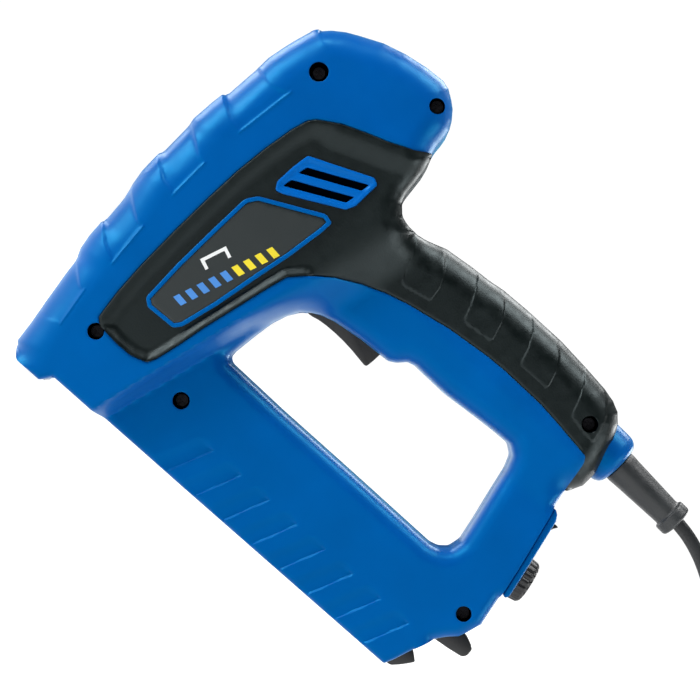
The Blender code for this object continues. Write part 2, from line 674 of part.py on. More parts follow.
def trigger():
    outline = [
        (69.5, 97), (71, 95.2), (76, 96.3), (85, 96.7), (95, 96.1), (103.3, 94.8), (104.7, 95.8), (105.6, 102.5),
        (104.5, 110), (72, 110), (69.2, 104),
    ]
    lever = prism("trigger", outline, (-7.0, 7.0), BLACK)
    cut(lever, rod("trigger_bore", TRIGGER_PIVOT, (0, 1, 0), 1.8, -10, 10, None, 12))
    set_origin(lever, TRIGGER_PIVOT)
    rod("trigger_pin", TRIGGER_PIVOT, (0, 1, 0), 1.5, -10.7, 10.7, STEEL, 12)
    coil_spring("trigger_spring", (101.5, 0, 110.3), (0, 0, 1), 2.2, 0.5, 6.4, 4, STEEL)
    switch = box("trigger_switch", (80, 106), (-3.2, 3.2), (117, 127.5), BLACK)
    cut(switch, rod("switch_bore", (95, 0, 0), (0, 0, 1), 1.5, 110, 123, None, 10))
    rod("switch_plunger", (95, 0, 0), (0, 0, 1), 1.2, 110.5, 119.5, BUMPER, 10)


def electronics():
    """Control board in the handle, with its power switch and smoothing capacitor."""
    box("circuit_board", (114, 182), (-12, 12), (128, 129.6), BOARD_GREEN)
    box("heat_sink", (120, 136), (-7, 7), (129.9, 146), STEEL)
    rod("capacitor", (0, 0, 136.6), (1, 0, 0), 6.3, 142, 166, BADGE_GREY, 20)


def power_dial():
    """Potentiometer behind the panel, its shaft, and the ribbed dial outside."""
    spot = at_panel(KNOB_HEIGHT)
    body = rod("potentiometer", spot, PANEL_NORMAL, 8.0, -13, -3.6, STEEL, 20)
    cut(body, rod("potentiometer_bore", spot, PANEL_NORMAL, 3.3, -9, 0, None, 14))
    shaft = rod("dial_shaft", spot, PANEL_NORMAL, 3.0, -8.5, 4.2, ZINC, 14)
    set_origin(shaft, spot)
    dial = turned(
        "power_dial", [(0, 0.4), (9.9, 0.4), (9.9, 4.6), (8.8, 6.0), (0, 6.0)], spot, PANEL_NORMAL, BLACK, 24
    )
    cut(dial, rod("dial_bore", spot, PANEL_NORMAL, 3.3, -2, 4.5, None, 14))
    set_origin(dial, spot)


ROCKER_AXIS = (-1.6, 0.0)


def rocker_switch():
    """Frame let into the panel, and the rocker that tips in it."""
    frame = on_panel(box("rocker_frame", (-12.5, -4.3), (-8.0, 8.0), (-6.5, 6.5), BLACK), SWITCH_HEIGHT)
    join(frame, on_panel(box("rocker_neck", (-5, 0.7), (-6.7, 6.7), (-5.3, 5.3), None), SWITCH_HEIGHT))
    cut(frame, on_panel(box("rocker_well", (-6.5, 3), (-5.6, 5.6), (-4.5, 4.5), None), SWITCH_HEIGHT))
    outline = [(-3.6, -1.5), (-0.9, -4.1), (-0.4, -4.1), (0.6, 0), (2.9, 3.2), (2.2, 3.6), (-0.9, 3.7), (-3.6, 1.5)]
    rocker = on_panel(prism("power_rocker", outline, (-5.3, 5.3), BLACK), SWITCH_HEIGHT)
    spot = Vector(at_panel(SWITCH_HEIGHT)) + ROCKER_AXIS[0] * Vector(PANEL_NORMAL)
    set_origin(rocker, spot)


# Mains cord

CORD_ROUTE = [
    (249.3, 0, 132.9), (255, 0, 132.0), (261, 0, 130.2), (268, 0, 127.2), (276, 0, 122.5), (285, 0, 116),
    (294, 0, 107.5), (302, 0, 97), (308.2, 0, 85), (312.6, 0, 72), (315.5, 0, 58), (317.2, 0.8, 46),
    (318.0, 3.8, 36.6), (318.3, 9.2, 29), (318.3, 16.4, 23.4), (318.0, 24.3, 19.7),
]
LEAD_ROUTE = [
    (244.9, 25.2, 2.5), (244.9, 18, 2.5), (244.9, 11, 2.5), (244.9, 4, 2.5), (245.7, -2.2, 2.5),
    (248.1, -8, 2.5), (251.9, -13, 2.6), (256.9, -16.8, 3.1), (262.7, -19.2, 4.5), (268.9, -20, 6.2),
    (270.6, -20, 6.5),
]


def smooth_route(points, spacing):
    """Points at an even spacing along a smooth curve through the route's own points."""
    controls = [Vector(p) for p in points]
    controls = [2 * controls[0] - controls[1]] + controls + [2 * controls[-1] - controls[-2]]
    dense = []
    for a, b, c, d in zip(controls, controls[1:], controls[2:], controls[3:]):
        for k in range(12):
            t = k / 12
            dense.append(0.5 * (2 * b + (c - a) * t + (2 * a - 5 * b + 4 * c - d) * t ** 2
                                + (3 * b - a - 3 * c + d) * t ** 3))
    dense.append(controls[-2])
    lengths = np.cumsum([0] + [(q - p).length for p, q in zip(dense, dense[1:])])
    count = max(2, round(lengths[-1] / spacing))
    wanted = np.linspace(0, lengths[-1], count + 1)
    columns = [np.interp(wanted, lengths, [p[k] for p in dense]) for k in range(3)]
    return [tuple(p) for p in np.stack(columns, 1)]


def cord_parts():
    collar_profile = [(5.8, -7), (12.2, -7), (12.2, 2.5), (11.6, 5), (10.2, 6.7), (8, 7.4), (5.8, 7.4)]
    turned("cord_collar", collar_profile, COLLAR_CENTRE, CORD_AXIS, BLUE, 20)
    relief_profile = [
        (0, -9.7), (8.4, -9.7), (8.4, -7.3), (5.5, -7.3), (5.5, 7.7), (7.4, 7.7), (7.4, 10), (6.1, 37),
        (7.6, 37.4), (7.6, 42.2), (6.8, 42.8), (0, 42.8),
    ]
    turned("strain_relief", relief_profile, COLLAR_CENTRE, CORD_AXIS, BLACK, 16)
    tube("power_cord", smooth_route(CORD_ROUTE, 13), CORD_DIAMETER / 2, CORD_GREY)
    coil_profile = [
        (COIL_INNER, 1.5), (COIL_INNER + 1.5, 0), (COIL_OUTER - 1.5, 0), (COIL_OUTER, 1.5),
        (COIL_OUTER, COIL_HEIGHT - 1.5), (COIL_OUTER - 1.5, COIL_HEIGHT), (COIL_INNER + 1.5, COIL_HEIGHT),
        (COIL_INNER, COIL_HEIGHT - 1.5),
    ]
    turned("cord_coil", coil_profile, (*COIL_CENTRE, 0), (0, 0, 1), CORD_GREY, 32)
    tube("cord_lead", smooth_route(LEAD_ROUTE, 8), LEAD_DIAMETER / 2, CORD_GREY)


def plug():
    """Flat two-pin plug that lies on the surface beside the coil."""
    x, y, z = LEAD_ROUTE[-1]
    half_wide, end = 11.5, x + 34
    body = box("plug_body", (x + 2 * GAP, end), (y - half_wide, y + half_wide), (z - 6.5, z + 6.5), BLACK)
    edge = body.modifiers.new("edge", "BEVEL")
    edge.width = 2.5 * MM
    edge.segments = 2
    for number, offset in ((1, -9.2), (2, 9.2)):
        rod(f"plug_pin_{number}", (end, y + offset, z), (1, 0, 0), 2.0, GAP, 18, STEEL, 12)


for half_name, half_side in (("left", -1), ("right", 1)):
    shell(half_name, half_side)
    grip(half_name, half_side)
    vent(half_name, half_side)
    badge(half_name, half_side)
rear_panel()
for screw_number, screw_spot in enumerate(HOUSING_SCREWS, 1):
    housing_screw(screw_number, screw_spot)
solenoid()
nose_guide()
magazine()
latch()
trigger()
electronics()
power_dial()
rocker_switch()
cord_parts()
plug()
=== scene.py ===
"""Looks of the corded electric stapler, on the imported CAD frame.

Outlines are in millimetres in the XZ plane, as in the CAD: X runs from the nose to the cord, Z is up, and
the left half lies at -Y. Objects are in metres.
"""

import math

import bmesh
import bpy
import numpy as np
from mathutils import Matrix, Vector
from mathutils.bvhtree import BVHTree
from mathutils.geometry import delaunay_2d_cdt


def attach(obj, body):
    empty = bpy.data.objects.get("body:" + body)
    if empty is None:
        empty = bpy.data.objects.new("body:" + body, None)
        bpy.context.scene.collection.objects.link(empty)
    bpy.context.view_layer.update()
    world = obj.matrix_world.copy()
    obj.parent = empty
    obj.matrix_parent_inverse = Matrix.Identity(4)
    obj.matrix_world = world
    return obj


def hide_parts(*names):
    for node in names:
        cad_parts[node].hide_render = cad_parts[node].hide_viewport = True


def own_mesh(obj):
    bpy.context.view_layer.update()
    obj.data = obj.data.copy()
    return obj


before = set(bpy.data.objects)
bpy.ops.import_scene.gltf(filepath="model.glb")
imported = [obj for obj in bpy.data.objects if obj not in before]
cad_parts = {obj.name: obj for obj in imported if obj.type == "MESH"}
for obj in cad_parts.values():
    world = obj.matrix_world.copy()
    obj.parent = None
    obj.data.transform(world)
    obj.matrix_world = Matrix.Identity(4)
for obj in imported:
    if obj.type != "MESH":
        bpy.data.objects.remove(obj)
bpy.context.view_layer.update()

MM = 0.001
BODY = "housing"

# Thickness of the closed housing, as in the CAD
HEAD_HALF, HANDLE_HALF, BODY_HALF = 32.0, 19.5, 17.5
SHOULDER_Z = (0, 75, 105, 150, 210)
SHOULDER_X = (28.5, 51, 60, 68, 72)
SHOULDER_RUN = (7, 8, 22, 30, 30)
WALL = 2.4
SEAM = 0.12

# Fineness of the meshes
FINE_STEP = 0.5
CIRCLE_SIDES = 32
CORNER_STEPS = 4
WIRE_STEPS, WIRE_SIDES = 28, 10
CORD_SIDES, PLUG_SIDES, DISC_SIDES = 20, 32, 64

# Silhouette from the side
FRONT_EDGE = [
    (-11.5, 4.4), (-13, 6), (-13.7, 16), (-15, 26), (-16.5, 40), (-17, 48), (-18.8, 52.5), (-19.6, 59),
    (-19.6, 66.5), (-18.8, 68.5), (-19, 80), (-20.3, 87.5), (-21, 94), (-20.6, 104.5), (-19.6, 106),
    (-18.9, 121), (-19.3, 125), (-18, 135), (-17, 140.5), (-15.3, 142), (-14.3, 150), (-13, 159.5),
    (-12.6, 165), (-10.5, 173), (-9, 178), (-6.5, 185),
]
TOP_EDGE = [
    (-3, 188), (0, 191), (5, 194.5), (10, 197), (20, 201.5), (30, 204.2), (40, 205.8), (49, 206.3),
    (53, 205.2), (57, 202.5), (60, 200), (63, 196), (65, 192), (65.4, 188), (65.5, 184), (66.3, 180),
]
GRIP_EDGE = [
    (67.5, 177), (68.5, 172), (69.2, 160), (70.4, 156), (74, 152.2), (78, 151), (83, 150.8), (88, 151.8),
    (97, 155), (110, 156.4), (120, 157), (127, 158), (140, 158.3), (160, 158), (174, 156.6), (187, 155),
    (193, 153.5), (197.5, 151.3), (201, 147.5), (204, 141.5), (206.5, 132), (207.6, 125), (207.2, 118),
    (205, 114),
]
REAR_EDGE = [(202, 111), (203, 104)]
PANEL_EDGE = [(206.5, 101.5), (208, 99), (209.6, 90), (211.3, 80), (213, 70), (214.2, 62), (213, 60.3)]
PANEL_INNER = [(203.8, 101.5), (207.2, 84), (209.2, 73), (211.0, 61.5)]
LOWER_REAR_EDGE = [(211.3, 59), (212.5, 50), (213.2, 45.5), (211, 39), (209.5, 35.5), (205, 31), (202, 27)]
FOOT_EDGE = [
    (198.5, 19), (195, 10), (193, 6), (150, 5.8), (80, 5.5), (40, 5.5), (9.5, 5.5), (6, 0.6), (-7, 0.6),
]
HAND_OPENING = [
    (58.5, 59.5), (60.5, 58), (90, 57.2), (130, 57), (175, 56.5), (179, 57.6), (182.5, 60.5), (184, 66),
    (182.5, 76), (180, 90), (178, 102), (176, 107.5), (172, 110.5), (165, 110.4), (155, 109.8), (138, 108.4),
    (124, 108.8), (120, 109), (116.5, 108), (113, 104.5), (110, 102.8), (95, 102), (82, 100.3), (76, 98.6),
    (72, 96.6), (68, 93.5), (64.5, 88.5), (62, 82), (60, 72), (58.4, 62.5),
]
PARTING_LINE = [
    (202, 111), (201, 118), (200, 125), (198.5, 127.8), (180, 130.5), (170, 131.7), (150, 132.3),
    (140, 132), (120, 130), (100, 126.2), (90, 123.5), (80, 119.5), (70, 114), (60, 106), (55, 101),
    (52, 92), (49, 82), (46, 72), (43, 62), (40, 50), (37, 40), (35, 36), (28, 33.7), (20, 33.5),
    (10, 34.5), (7.5, 37), (6.5, 50), (6.5, 65), (7.5, 85), (9, 105), (10.5, 120), (13, 135), (16, 148),
    (18.5, 155), (21, 158), (30, 163.5), (40, 167.5), (50, 171), (60, 175.5), (66.3, 180),
]
VENT_OUTLINE = [
    (28, 144.5), (55, 156), (58, 154.5), (57, 142), (55, 138), (31, 125.5), (27.5, 124.5), (25.5, 128),
    (26.5, 137),
]
VENT_SLOTS = [
    [(30, 136.5), (31, 140.5), (55.3, 152.2), (54.5, 148.3)],
    [(28.7, 128.2), (29.6, 132.4), (54, 144.3), (53, 140.4)],
]
BADGE_OUTLINE = [
    (21, 114), (24, 118), (50, 131), (54, 130), (53.5, 125), (50, 108), (46, 93), (41, 73), (36, 57),
    (33.5, 54), (20, 53.5), (17, 56), (17.5, 75), (19, 95), (20.5, 112),
]
BADGE_FOOT = Vector((24.5, 60.5))

# Edge radii: (line, radius)
ROUNDED = [
    (FRONT_EDGE, 16.0),
    (TOP_EDGE, 13.0),
    (GRIP_EDGE[:7], 10.0),
    (GRIP_EDGE[6:], 13.0),
    (REAR_EDGE + PANEL_EDGE + LOWER_REAR_EDGE, 5.0),
    (FOOT_EDGE, 2.2),
]
OPENING_RADIUS = 7.5

# Scooped stretches between the proud pads of the front corner, and the fine raised line behind each
SCOOP_DEPTH = 1.3
SCOOPS = [
    [(-30, 162), (-11, 159), (-3, 157), (3, 158.5), (5.5, 160), (0.5, 133), (-6.5, 134), (-15.5, 138.7),
     (-30, 149)],
    [(-30, 128), (-19, 124), (-11, 119), (-5, 115), (-2, 114), (-3, 95), (-10.5, 96.5), (-19, 101.7),
     (-30, 109)],
    [(-30, 92), (-20, 87), (-13, 82), (-7, 78.3), (-3.7, 77.5), (-3, 57), (-12, 61), (-18.5, 66.2),
     (-30, 72)],
    [(-30, 56), (-18, 50), (-12, 45.5), (-7, 42), (-4.5, 41.5), (-2.5, 24), (-12, 19), (-30, 15)],
]
CREASES = [
    [(5.5, 160), (0.5, 133)],
    [(-2, 114), (-3, 95)],
    [(-3.7, 77.5), (-3, 57)],
    [(-4.5, 41.5), (-2.5, 24)],
]
CREASE_HEIGHT = 0.35

FLUTE_COUNT, FLUTE_PITCH, FLUTE_START = 8, 15.7, 61.8
FLUTE_DEPTH, FLUTE_WIDTH, FLUTE_LEAN = 0.9, 10.0, 0.46
FLUTE_Z = (7.5, 26.5)

# Raised finger pads on the handle
GRIP_PADS = [
    [(76, 166), (80, 151), (85, 148), (88.5, 141), (90, 136), (92, 131.5), (93.5, 130.4), (106, 133.2),
     (106.5, 134), (106, 140), (103.5, 146), (100, 150.5), (97, 153.5), (93, 166)],
    [(110, 166), (114, 155), (117, 150), (120, 143), (121.5, 138), (123, 136), (136, 137.3), (137, 139),
     (135, 147), (132, 152), (128, 157), (123, 168)],
    [(138, 168), (143, 157), (147, 152.5), (150, 146), (151.5, 140), (153, 138), (167, 138), (167.5, 140),
     (166, 146), (163, 152), (158, 157.5), (152, 168)],
    [(170, 166), (174, 155.5), (178, 149.5), (180.5, 143), (182, 137.5), (183.5, 136), (196, 133.8),
     (197.3, 135), (196.5, 141), (194, 147), (190, 152), (186.5, 155), (182, 166)],
]
PAD_HEIGHT = 0.55

# Screw recesses of the left half: (x, z, radius)
RECESSES = [(8.5, 173.5, 4.1), (54.7, 195.5, 3.4), (10.5, 31.5, 3.5), (55.5, 32.5, 3.6), (191, 139, 3.5),
            (204.3, 44, 3.3)]
GRIP_RECESS = 4
BOSS_WALL = 1.6

PANEL_TILT = math.atan2(6.0, 36.5)
PANEL_TOP = (208.2, 98.5)
PANEL_NORMAL = (math.cos(PANEL_TILT), 0, math.sin(PANEL_TILT))
SWITCH_HEIGHT, KNOB_HEIGHT = 94.0, 70.5
COLLAR_CENTRE = (206.0, 0.0, 135.3)
CORD_DROOP = math.radians(3.0)
CORD_AXIS = (math.cos(CORD_DROOP), 0, -math.sin(CORD_DROOP))


# Outlines

def refined(loop, longest):
    """The closed loop with its long edges divided."""
    points = []
    for (x, z), (next_x, next_z) in zip(loop, loop[1:] + loop[:1]):
        parts = max(1, math.ceil(math.hypot(next_x - x, next_z - z) / longest))
        points += [(x + (next_x - x) * k / parts, z + (next_z - z) * k / parts) for k in range(parts)]
    return points


def smoothed(loop, longest=3.0):
    """The closed loop with its corners cut to a smooth curve."""
    points = np.array(refined(loop, longest), float)
    for _ in range(2):
        after = np.roll(points, -1, axis=0)
        points = np.stack([0.75 * points + 0.25 * after, 0.25 * points + 0.75 * after], 1).reshape(-1, 2)
    return [tuple(p) for p in points]


def circle(x, z, radius):
    turns = [2 * math.pi * k / CIRCLE_SIDES for k in range(CIRCLE_SIDES)]
    return [(x + radius * math.cos(t), z + radius * math.sin(t)) for t in turns]


def edge_tree(lines, closed=True):
    """Search tree over narrow walls that stand on the lines, for distances in the XZ plane."""
    corners, walls = [], []
    for line in lines:
        ends = line[1:] + line[:1] if closed else line[1:]
        for (x, z), (next_x, next_z) in zip(line, ends):
            first = len(corners)
            corners += [(x, -1, z), (next_x, -1, next_z), (next_x, 1, next_z), (x, 1, z)]
            walls.append((first, first + 1, first + 2, first + 3))
    return BVHTree.FromPolygons(corners, walls)


def distances(tree, points):
    return np.array([tree.find_nearest((x, 0.0, z))[3] for x, z in points])


def inside(points, loops):
    """Whether each point is inside an odd number of the loops."""
    points = np.asarray(points, float)
    order = np.argsort(points[:, 1])
    x, z = points[order, 0], points[order, 1]
    odd = np.zeros(len(points), bool)
    for loop in loops:
        for (ax, az), (bx, bz) in zip(loop, loop[1:] + loop[:1]):
            first, last = np.searchsorted(z, sorted((az, bz)), side="right")
            if last > first:
                cut = ax + (z[first:last] - az) * (bx - ax) / (bz - az)
                odd[first:last] ^= x[first:last] < cut
    result = np.empty(len(points), bool)
    result[order] = odd
    return result


def inset(loop, distance):
    """The loop moved inwards, or outwards for a negative distance, without the points that cross."""
    points = np.array(loop, float)
    area = np.sum(points[:, 0] * np.roll(points[:, 1], -1) - np.roll(points[:, 0], -1) * points[:, 1])
    along = np.roll(points, -1, axis=0) - np.roll(points, 1, axis=0)
    along /= np.linalg.norm(along, axis=1)[:, None]
    moved = points + distance * math.copysign(1, area) * np.stack([-along[:, 1], along[:, 0]], 1)
    kept = distances(edge_tree([loop]), moved) > 0.93 * abs(distance)
    return [tuple(p) for p in moved[kept]]


def depth_inside(points, loop):
    """Distance from the loop's edge for the points inside it, and 0 for the others."""
    return np.where(inside(points, [loop]), distances(edge_tree([loop]), points), 0.0)


def smoothstep(t):
    t = np.clip(t, 0, 1)
    return t * t * (3 - 2 * t)


# Surface of the housing

ROUND_TREES = [(edge_tree([line], closed=False), radius) for line, radius in ROUNDED]
OPENING_LOOP = smoothed(HAND_OPENING)
OPENING_TREE = edge_tree([OPENING_LOOP])
PARTING_TREE = edge_tree([PARTING_LINE], closed=False)
CREASE_TREE = edge_tree(CREASES, closed=False)
BADGE_LOOP = smoothed(BADGE_OUTLINE, 2.5)
VENT_LOOP = smoothed(VENT_OUTLINE, 2.5)


def side_half(points):
    """Half the thickness of the closed housing away from its rounded edges."""
    x, z = points[:, 0], points[:, 1]
    start = np.interp(z, SHOULDER_Z, SHOULDER_X)
    run = np.interp(z, SHOULDER_Z, SHOULDER_RUN)
    slim = np.interp(z, (100, 125), (BODY_HALF, HANDLE_HALF))
    return HEAD_HALF + (slim - HEAD_HALF) * smoothstep((x - start) / run)


def edge_drop(depth, radius):
    """How far a rounded edge falls at this distance from the edge."""
    reach = np.clip(radius - depth, 0, radius)
    return radius - np.sqrt(radius ** 2 - reach ** 2)


def rounding(points):
    drops = [edge_drop(distances(tree, points), radius) for tree, radius in ROUND_TREES]
    drops.append(edge_drop(distances(OPENING_TREE, points), OPENING_RADIUS))
    return np.max(drops, axis=0)


def scooping(points):
    """Depth of the scoops between the front corner's pads, with a fine raised line behind each."""
    total = np.zeros(len(points))
    for loop in SCOOPS:
        total += SCOOP_DEPTH * smoothstep(depth_inside(points, loop) / 1.9)
    towards_front = 0.3 + 0.7 * smoothstep((-3 - points[:, 0]) / 9)
    ridges = CREASE_HEIGHT * smoothstep(1 - distances(CREASE_TREE, points) / 0.75)
    return total * towards_front * smoothstep((points[:, 1] - 15) / 18) - ridges


def fluting(points):
    """Slanted grooves along the magazine: a soft fall on the left and a steep rise on the right."""
    x, z = points[:, 0], points[:, 1]
    foot = x - FLUTE_LEAN * (z - FLUTE_Z[0]) - FLUTE_START
    number = np.floor(foot / FLUTE_PITCH)
    across = (foot - number * FLUTE_PITCH) / FLUTE_WIDTH
    shape = smoothstep(across / 0.55) * smoothstep((1 - across) * FLUTE_WIDTH / 0.9)
    ends = smoothstep((z - FLUTE_Z[0] + 2.0) / 2.0) * smoothstep((FLUTE_Z[1] - z) / 1.4)
    shown = (number >= 0) & (number < FLUTE_COUNT) & (across < 1)
    return np.where(shown, FLUTE_DEPTH * shape * ends, 0.0)


def recess_rims(points):
    drop = np.zeros(len(points))
    for x, z, radius in RECESSES:
        away = np.hypot(points[:, 0] - x, points[:, 1] - z) - radius
        drop = np.maximum(drop, edge_drop(np.maximum(away, 0), 0.5))
    return drop


def blue_height(side):
    def height(points):
        drop = np.maximum(rounding(points), edge_drop(distances(PARTING_TREE, points), 0.7))
        if side < 0:
            drop = np.maximum(drop, recess_rims(points))
        return side_half(points) - drop - scooping(points) - fluting(points)
    return height


TUB_RIGHT = edge_tree([PARTING_LINE[13:26]], closed=False)
TUB_LEFT = edge_tree([PARTING_LINE[25:36]], closed=False)
TUB_TOP = edge_tree([PARTING_LINE[35:]], closed=False)
TUB_DEPTH = 2.3


def tub_depth(points):
    """Depth of the side panel's sunken middle: a flat bevel behind, soft slopes in front and above."""
    right = np.clip(1 - distances(TUB_RIGHT, points) / 4.0, 0, 1)
    left = smoothstep(1 - (distances(TUB_LEFT, points) - 1.5) / 7.0)
    top = smoothstep(1 - (distances(TUB_TOP, points) - 3.0) / 9.0)
    return TUB_DEPTH * (1 - np.max([right, left, top], axis=0)) * smoothstep((80 - points[:, 0]) / 20)


def rubber_height(side):
    """The soft moulding: proud side panel with a sunken middle, and raised finger pads."""
    def height(points):
        proud = 0.9 * smoothstep((95 - points[:, 0]) / 35)
        pads = sum(PAD_HEIGHT * smoothstep(depth_inside(points, loop) / 0.7) for loop in GRIP_PADS)
        drop = np.maximum(rounding(points), edge_drop(distances(PARTING_TREE, points), 0.8))
        if side < 0:
            drop = np.maximum(drop, recess_rims(points))
        return side_half(points) + proud - tub_depth(points) + pads - drop
    return height


# Meshes

def linked(name, mesh, look=None, sharp=32):
    made = bpy.data.objects.new(name, mesh)
    bpy.context.scene.collection.objects.link(made)
    if look:
        mesh.materials.append(look)
    mesh.shade_smooth()
    mesh.set_sharp_from_angle(angle=math.radians(sharp))
    return made


def piece(made, body, *nodes):
    """Hides the CAD nodes that a finished object stands for, and sets it riding on a body."""
    if nodes:
        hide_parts(*nodes)
    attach(made, body)
    return made


def from_bmesh(name, shape, look, sharp=32):
    """An object in metres from a bmesh in millimetres."""
    bmesh.ops.recalc_face_normals(shape, faces=shape.faces)
    bmesh.ops.scale(shape, vec=(MM, MM, MM), verts=shape.verts)
    mesh = bpy.data.meshes.new(name)
    shape.to_mesh(mesh)
    shape.free()
    return linked(name, mesh, look, sharp)


def field_points(loops, rings, step, fine_lines):
    """Points inside the loops: rings beside the edges, a grid, and a finer grid beside the fine lines."""
    tree = edge_tree(loops)
    extra = []
    for ring in rings:
        for k, loop in enumerate(loops):
            extra += inset(loop, ring if k == 0 else -ring)
    corner, far = np.min(loops[0], axis=0), np.max(loops[0], axis=0)
    fine_tree = edge_tree(fine_lines) if fine_lines else None
    for spacing in {step, FINE_STEP} if fine_lines else {step}:
        x, z = np.meshgrid(np.arange(corner[0], far[0], spacing), np.arange(corner[1], far[1], spacing))
        x[::2] += spacing / 2
        grid = np.stack([x.ravel(), z.ravel()], 1)
        grid = grid[inside(grid, loops)]
        if fine_tree:
            near = distances(fine_tree, grid) < 1.8
            grid = grid[near if spacing == FINE_STEP else ~near]
        extra += [tuple(p) for p in grid[distances(tree, grid) > max(rings, default=0) + 0.4 * spacing]]
    extra = np.array(extra)
    clear = distances(tree, extra) > 0.8 * min(rings, default=0.3)
    return [tuple(p) for p in extra[clear & inside(extra, loops)]]


def layer(flat, y):
    return np.stack([flat[:, 0], y, flat[:, 1]], 1)


def field(name, loops, side, height, base, look, rings=(0.25, 0.7, 1.4), step=1.1, fine_lines=(), seam=0.0):
    """A solid inside the first loop and outside the others, from one height function to another.

    Both are measured from Y = 0 towards the given side. A seam chamfers the lower rim.
    """
    edges, first = [], 0
    for loop in loops:
        edges += [(first + k, first + (k + 1) % len(loop)) for k in range(len(loop))]
        first += len(loop)
    points = [p for loop in loops for p in loop] + field_points(loops, rings, step, fine_lines)
    flat, _, faces, _, _, _ = delaunay_2d_cdt([Vector(p) for p in points], edges, [], 0, 1e-6)
    flat = np.array([tuple(p) for p in flat])
    faces = np.array(faces)
    faces = faces[inside(flat[faces].mean(1), loops)]
    low = base(flat)
    count = len(flat)
    corners = np.concatenate([layer(flat, side * height(flat)), layer(flat, side * low)])
    pairs = np.concatenate([faces[:, [0, 1]], faces[:, [1, 2]], faces[:, [2, 0]]])
    _, position, uses = np.unique(np.sort(pairs, 1), axis=0, return_index=True, return_counts=True)
    rim = pairs[position[uses == 1]]
    polygons = faces.tolist() + (faces[:, ::-1] + count).tolist()
    if seam:
        run = flat[rim[:, 1]] - flat[rim[:, 0]]
        outward = np.stack([run[:, 1], -run[:, 0]], 1) / np.linalg.norm(run, axis=1)[:, None]
        push = np.zeros((count, 2))
        np.add.at(push, rim[:, 0], outward / 2)
        np.add.at(push, rim[:, 1], outward / 2)
        one, two, three = flat[faces[0]]
        turn = 1.0 if np.cross(two - one, three - one) > 0 else -1.0
        corners[count:, 0] -= turn * seam * push[:, 0]
        corners[count:, 2] -= turn * seam * push[:, 1]
        corners = np.concatenate([corners, layer(flat, side * (low + seam))])
        polygons += [[b, a, a + 2 * count, b + 2 * count] for a, b in rim.tolist()]
        polygons += [[b + 2 * count, a + 2 * count, a + count, b + count] for a, b in rim.tolist()]
    else:
        polygons += [[b, a, a + count, b + count] for a, b in rim.tolist()]
    mesh = bpy.data.meshes.new(name)
    mesh.from_pydata((corners * MM).tolist(), [], polygons)
    shape = bmesh.new()
    shape.from_mesh(mesh)
    bmesh.ops.delete(shape, geom=[v for v in shape.verts if not v.link_faces], context="VERTS")
    bmesh.ops.recalc_face_normals(shape, faces=shape.faces)
    shape.to_mesh(mesh)
    shape.free()
    return linked(name, mesh, look)


def level(y):
    return lambda points: np.full(len(points), float(y))


def tube(rows):
    """A closed skin over rings of points."""
    shape = bmesh.new()
    rings = [[shape.verts.new(point) for point in row] for row in rows]
    for here, after in zip(rings, rings[1:]):
        for k in range(len(here)):
            n = (k + 1) % len(here)
            shape.faces.new([here[k], here[n], after[n], after[k]])
    shape.faces.new(list(reversed(rings[0])))
    shape.faces.new(rings[-1])
    return shape


def prism(name, outline, y, look, bevel=0.0, segments=3):
    """The outline in XZ extruded along Y between the two values of y, with rounded edges."""
    shape = tube([[(x, end, z) for x, z in outline] for end in y])
    bmesh.ops.recalc_face_normals(shape, faces=shape.faces)
    if bevel:
        rims = [e for e in shape.edges if e.calc_face_angle(0) > math.radians(25)]
        bmesh.ops.bevel(shape, geom=rims, offset=bevel, segments=segments, profile=0.5, affect="EDGES",
                        clamp_overlap=True)
    return from_bmesh(name, shape, look)


def turned(name, profile, origin, axis, look, segments=72, ripple=None):
    """A closed (radius, height) profile turned about an axis; ripple gives what is added to the radius."""
    shape = bmesh.new()
    rows = []
    for k in range(segments):
        turn = 2 * math.pi * k / segments
        row = []
        for radius, height in profile:
            wide = radius + (ripple(turn, radius, height) if ripple else 0)
            row.append(shape.verts.new((wide * math.cos(turn), wide * math.sin(turn), height)))
        rows.append(row)
    for k in range(segments):
        here, after = rows[k], rows[(k + 1) % segments]
        for j in range(len(profile)):
            n = (j + 1) % len(profile)
            if profile[j][0] < 1e-6 and profile[n][0] < 1e-6:
                continue
            shape.faces.new([here[j], after[j], after[n], here[n]])
    bmesh.ops.remove_doubles(shape, verts=shape.verts, dist=1e-5)
    turn = Vector((0, 0, 1)).rotation_difference(Vector(axis)).to_matrix().to_4x4()
    bmesh.ops.transform(shape, matrix=Matrix.Translation(origin) @ turn, verts=shape.verts)
    return from_bmesh(name, shape, look)


def rounded_profile(profile, radius):
    """The (radius, height) profile with its corners off the axis rounded."""
    points = []
    for k, spot in enumerate(profile):
        if spot[0] < 1e-6:
            points.append(spot)
            continue
        here = Vector(spot)
        before = Vector(profile[k - 1]) - here
        after = Vector(profile[(k + 1) % len(profile)]) - here
        reach = min(radius, 0.45 * before.length, 0.45 * after.length)
        start, end = here + before.normalized() * reach, here + after.normalized() * reach
        for j in range(CORNER_STEPS + 1):
            t = j / CORNER_STEPS
            points.append(tuple((1 - t) ** 2 * start + 2 * t * (1 - t) * here + t ** 2 * end))
    return points


def block(name, x, y, z, look, bevel=0.4):
    return prism(name, [(x[0], z[0]), (x[1], z[0]), (x[1], z[1]), (x[0], z[1])], y, look, bevel)


def box_cutter(x, y, z):
    return block("box_cutter", x, y, z, None, 0)


def drum_cutter(radius, low, high, origin, axis, segments=24):
    profile = [(0, low), (radius, low), (radius, high), (0, high)]
    return turned("drum_cutter", profile, origin, axis, None, segments)


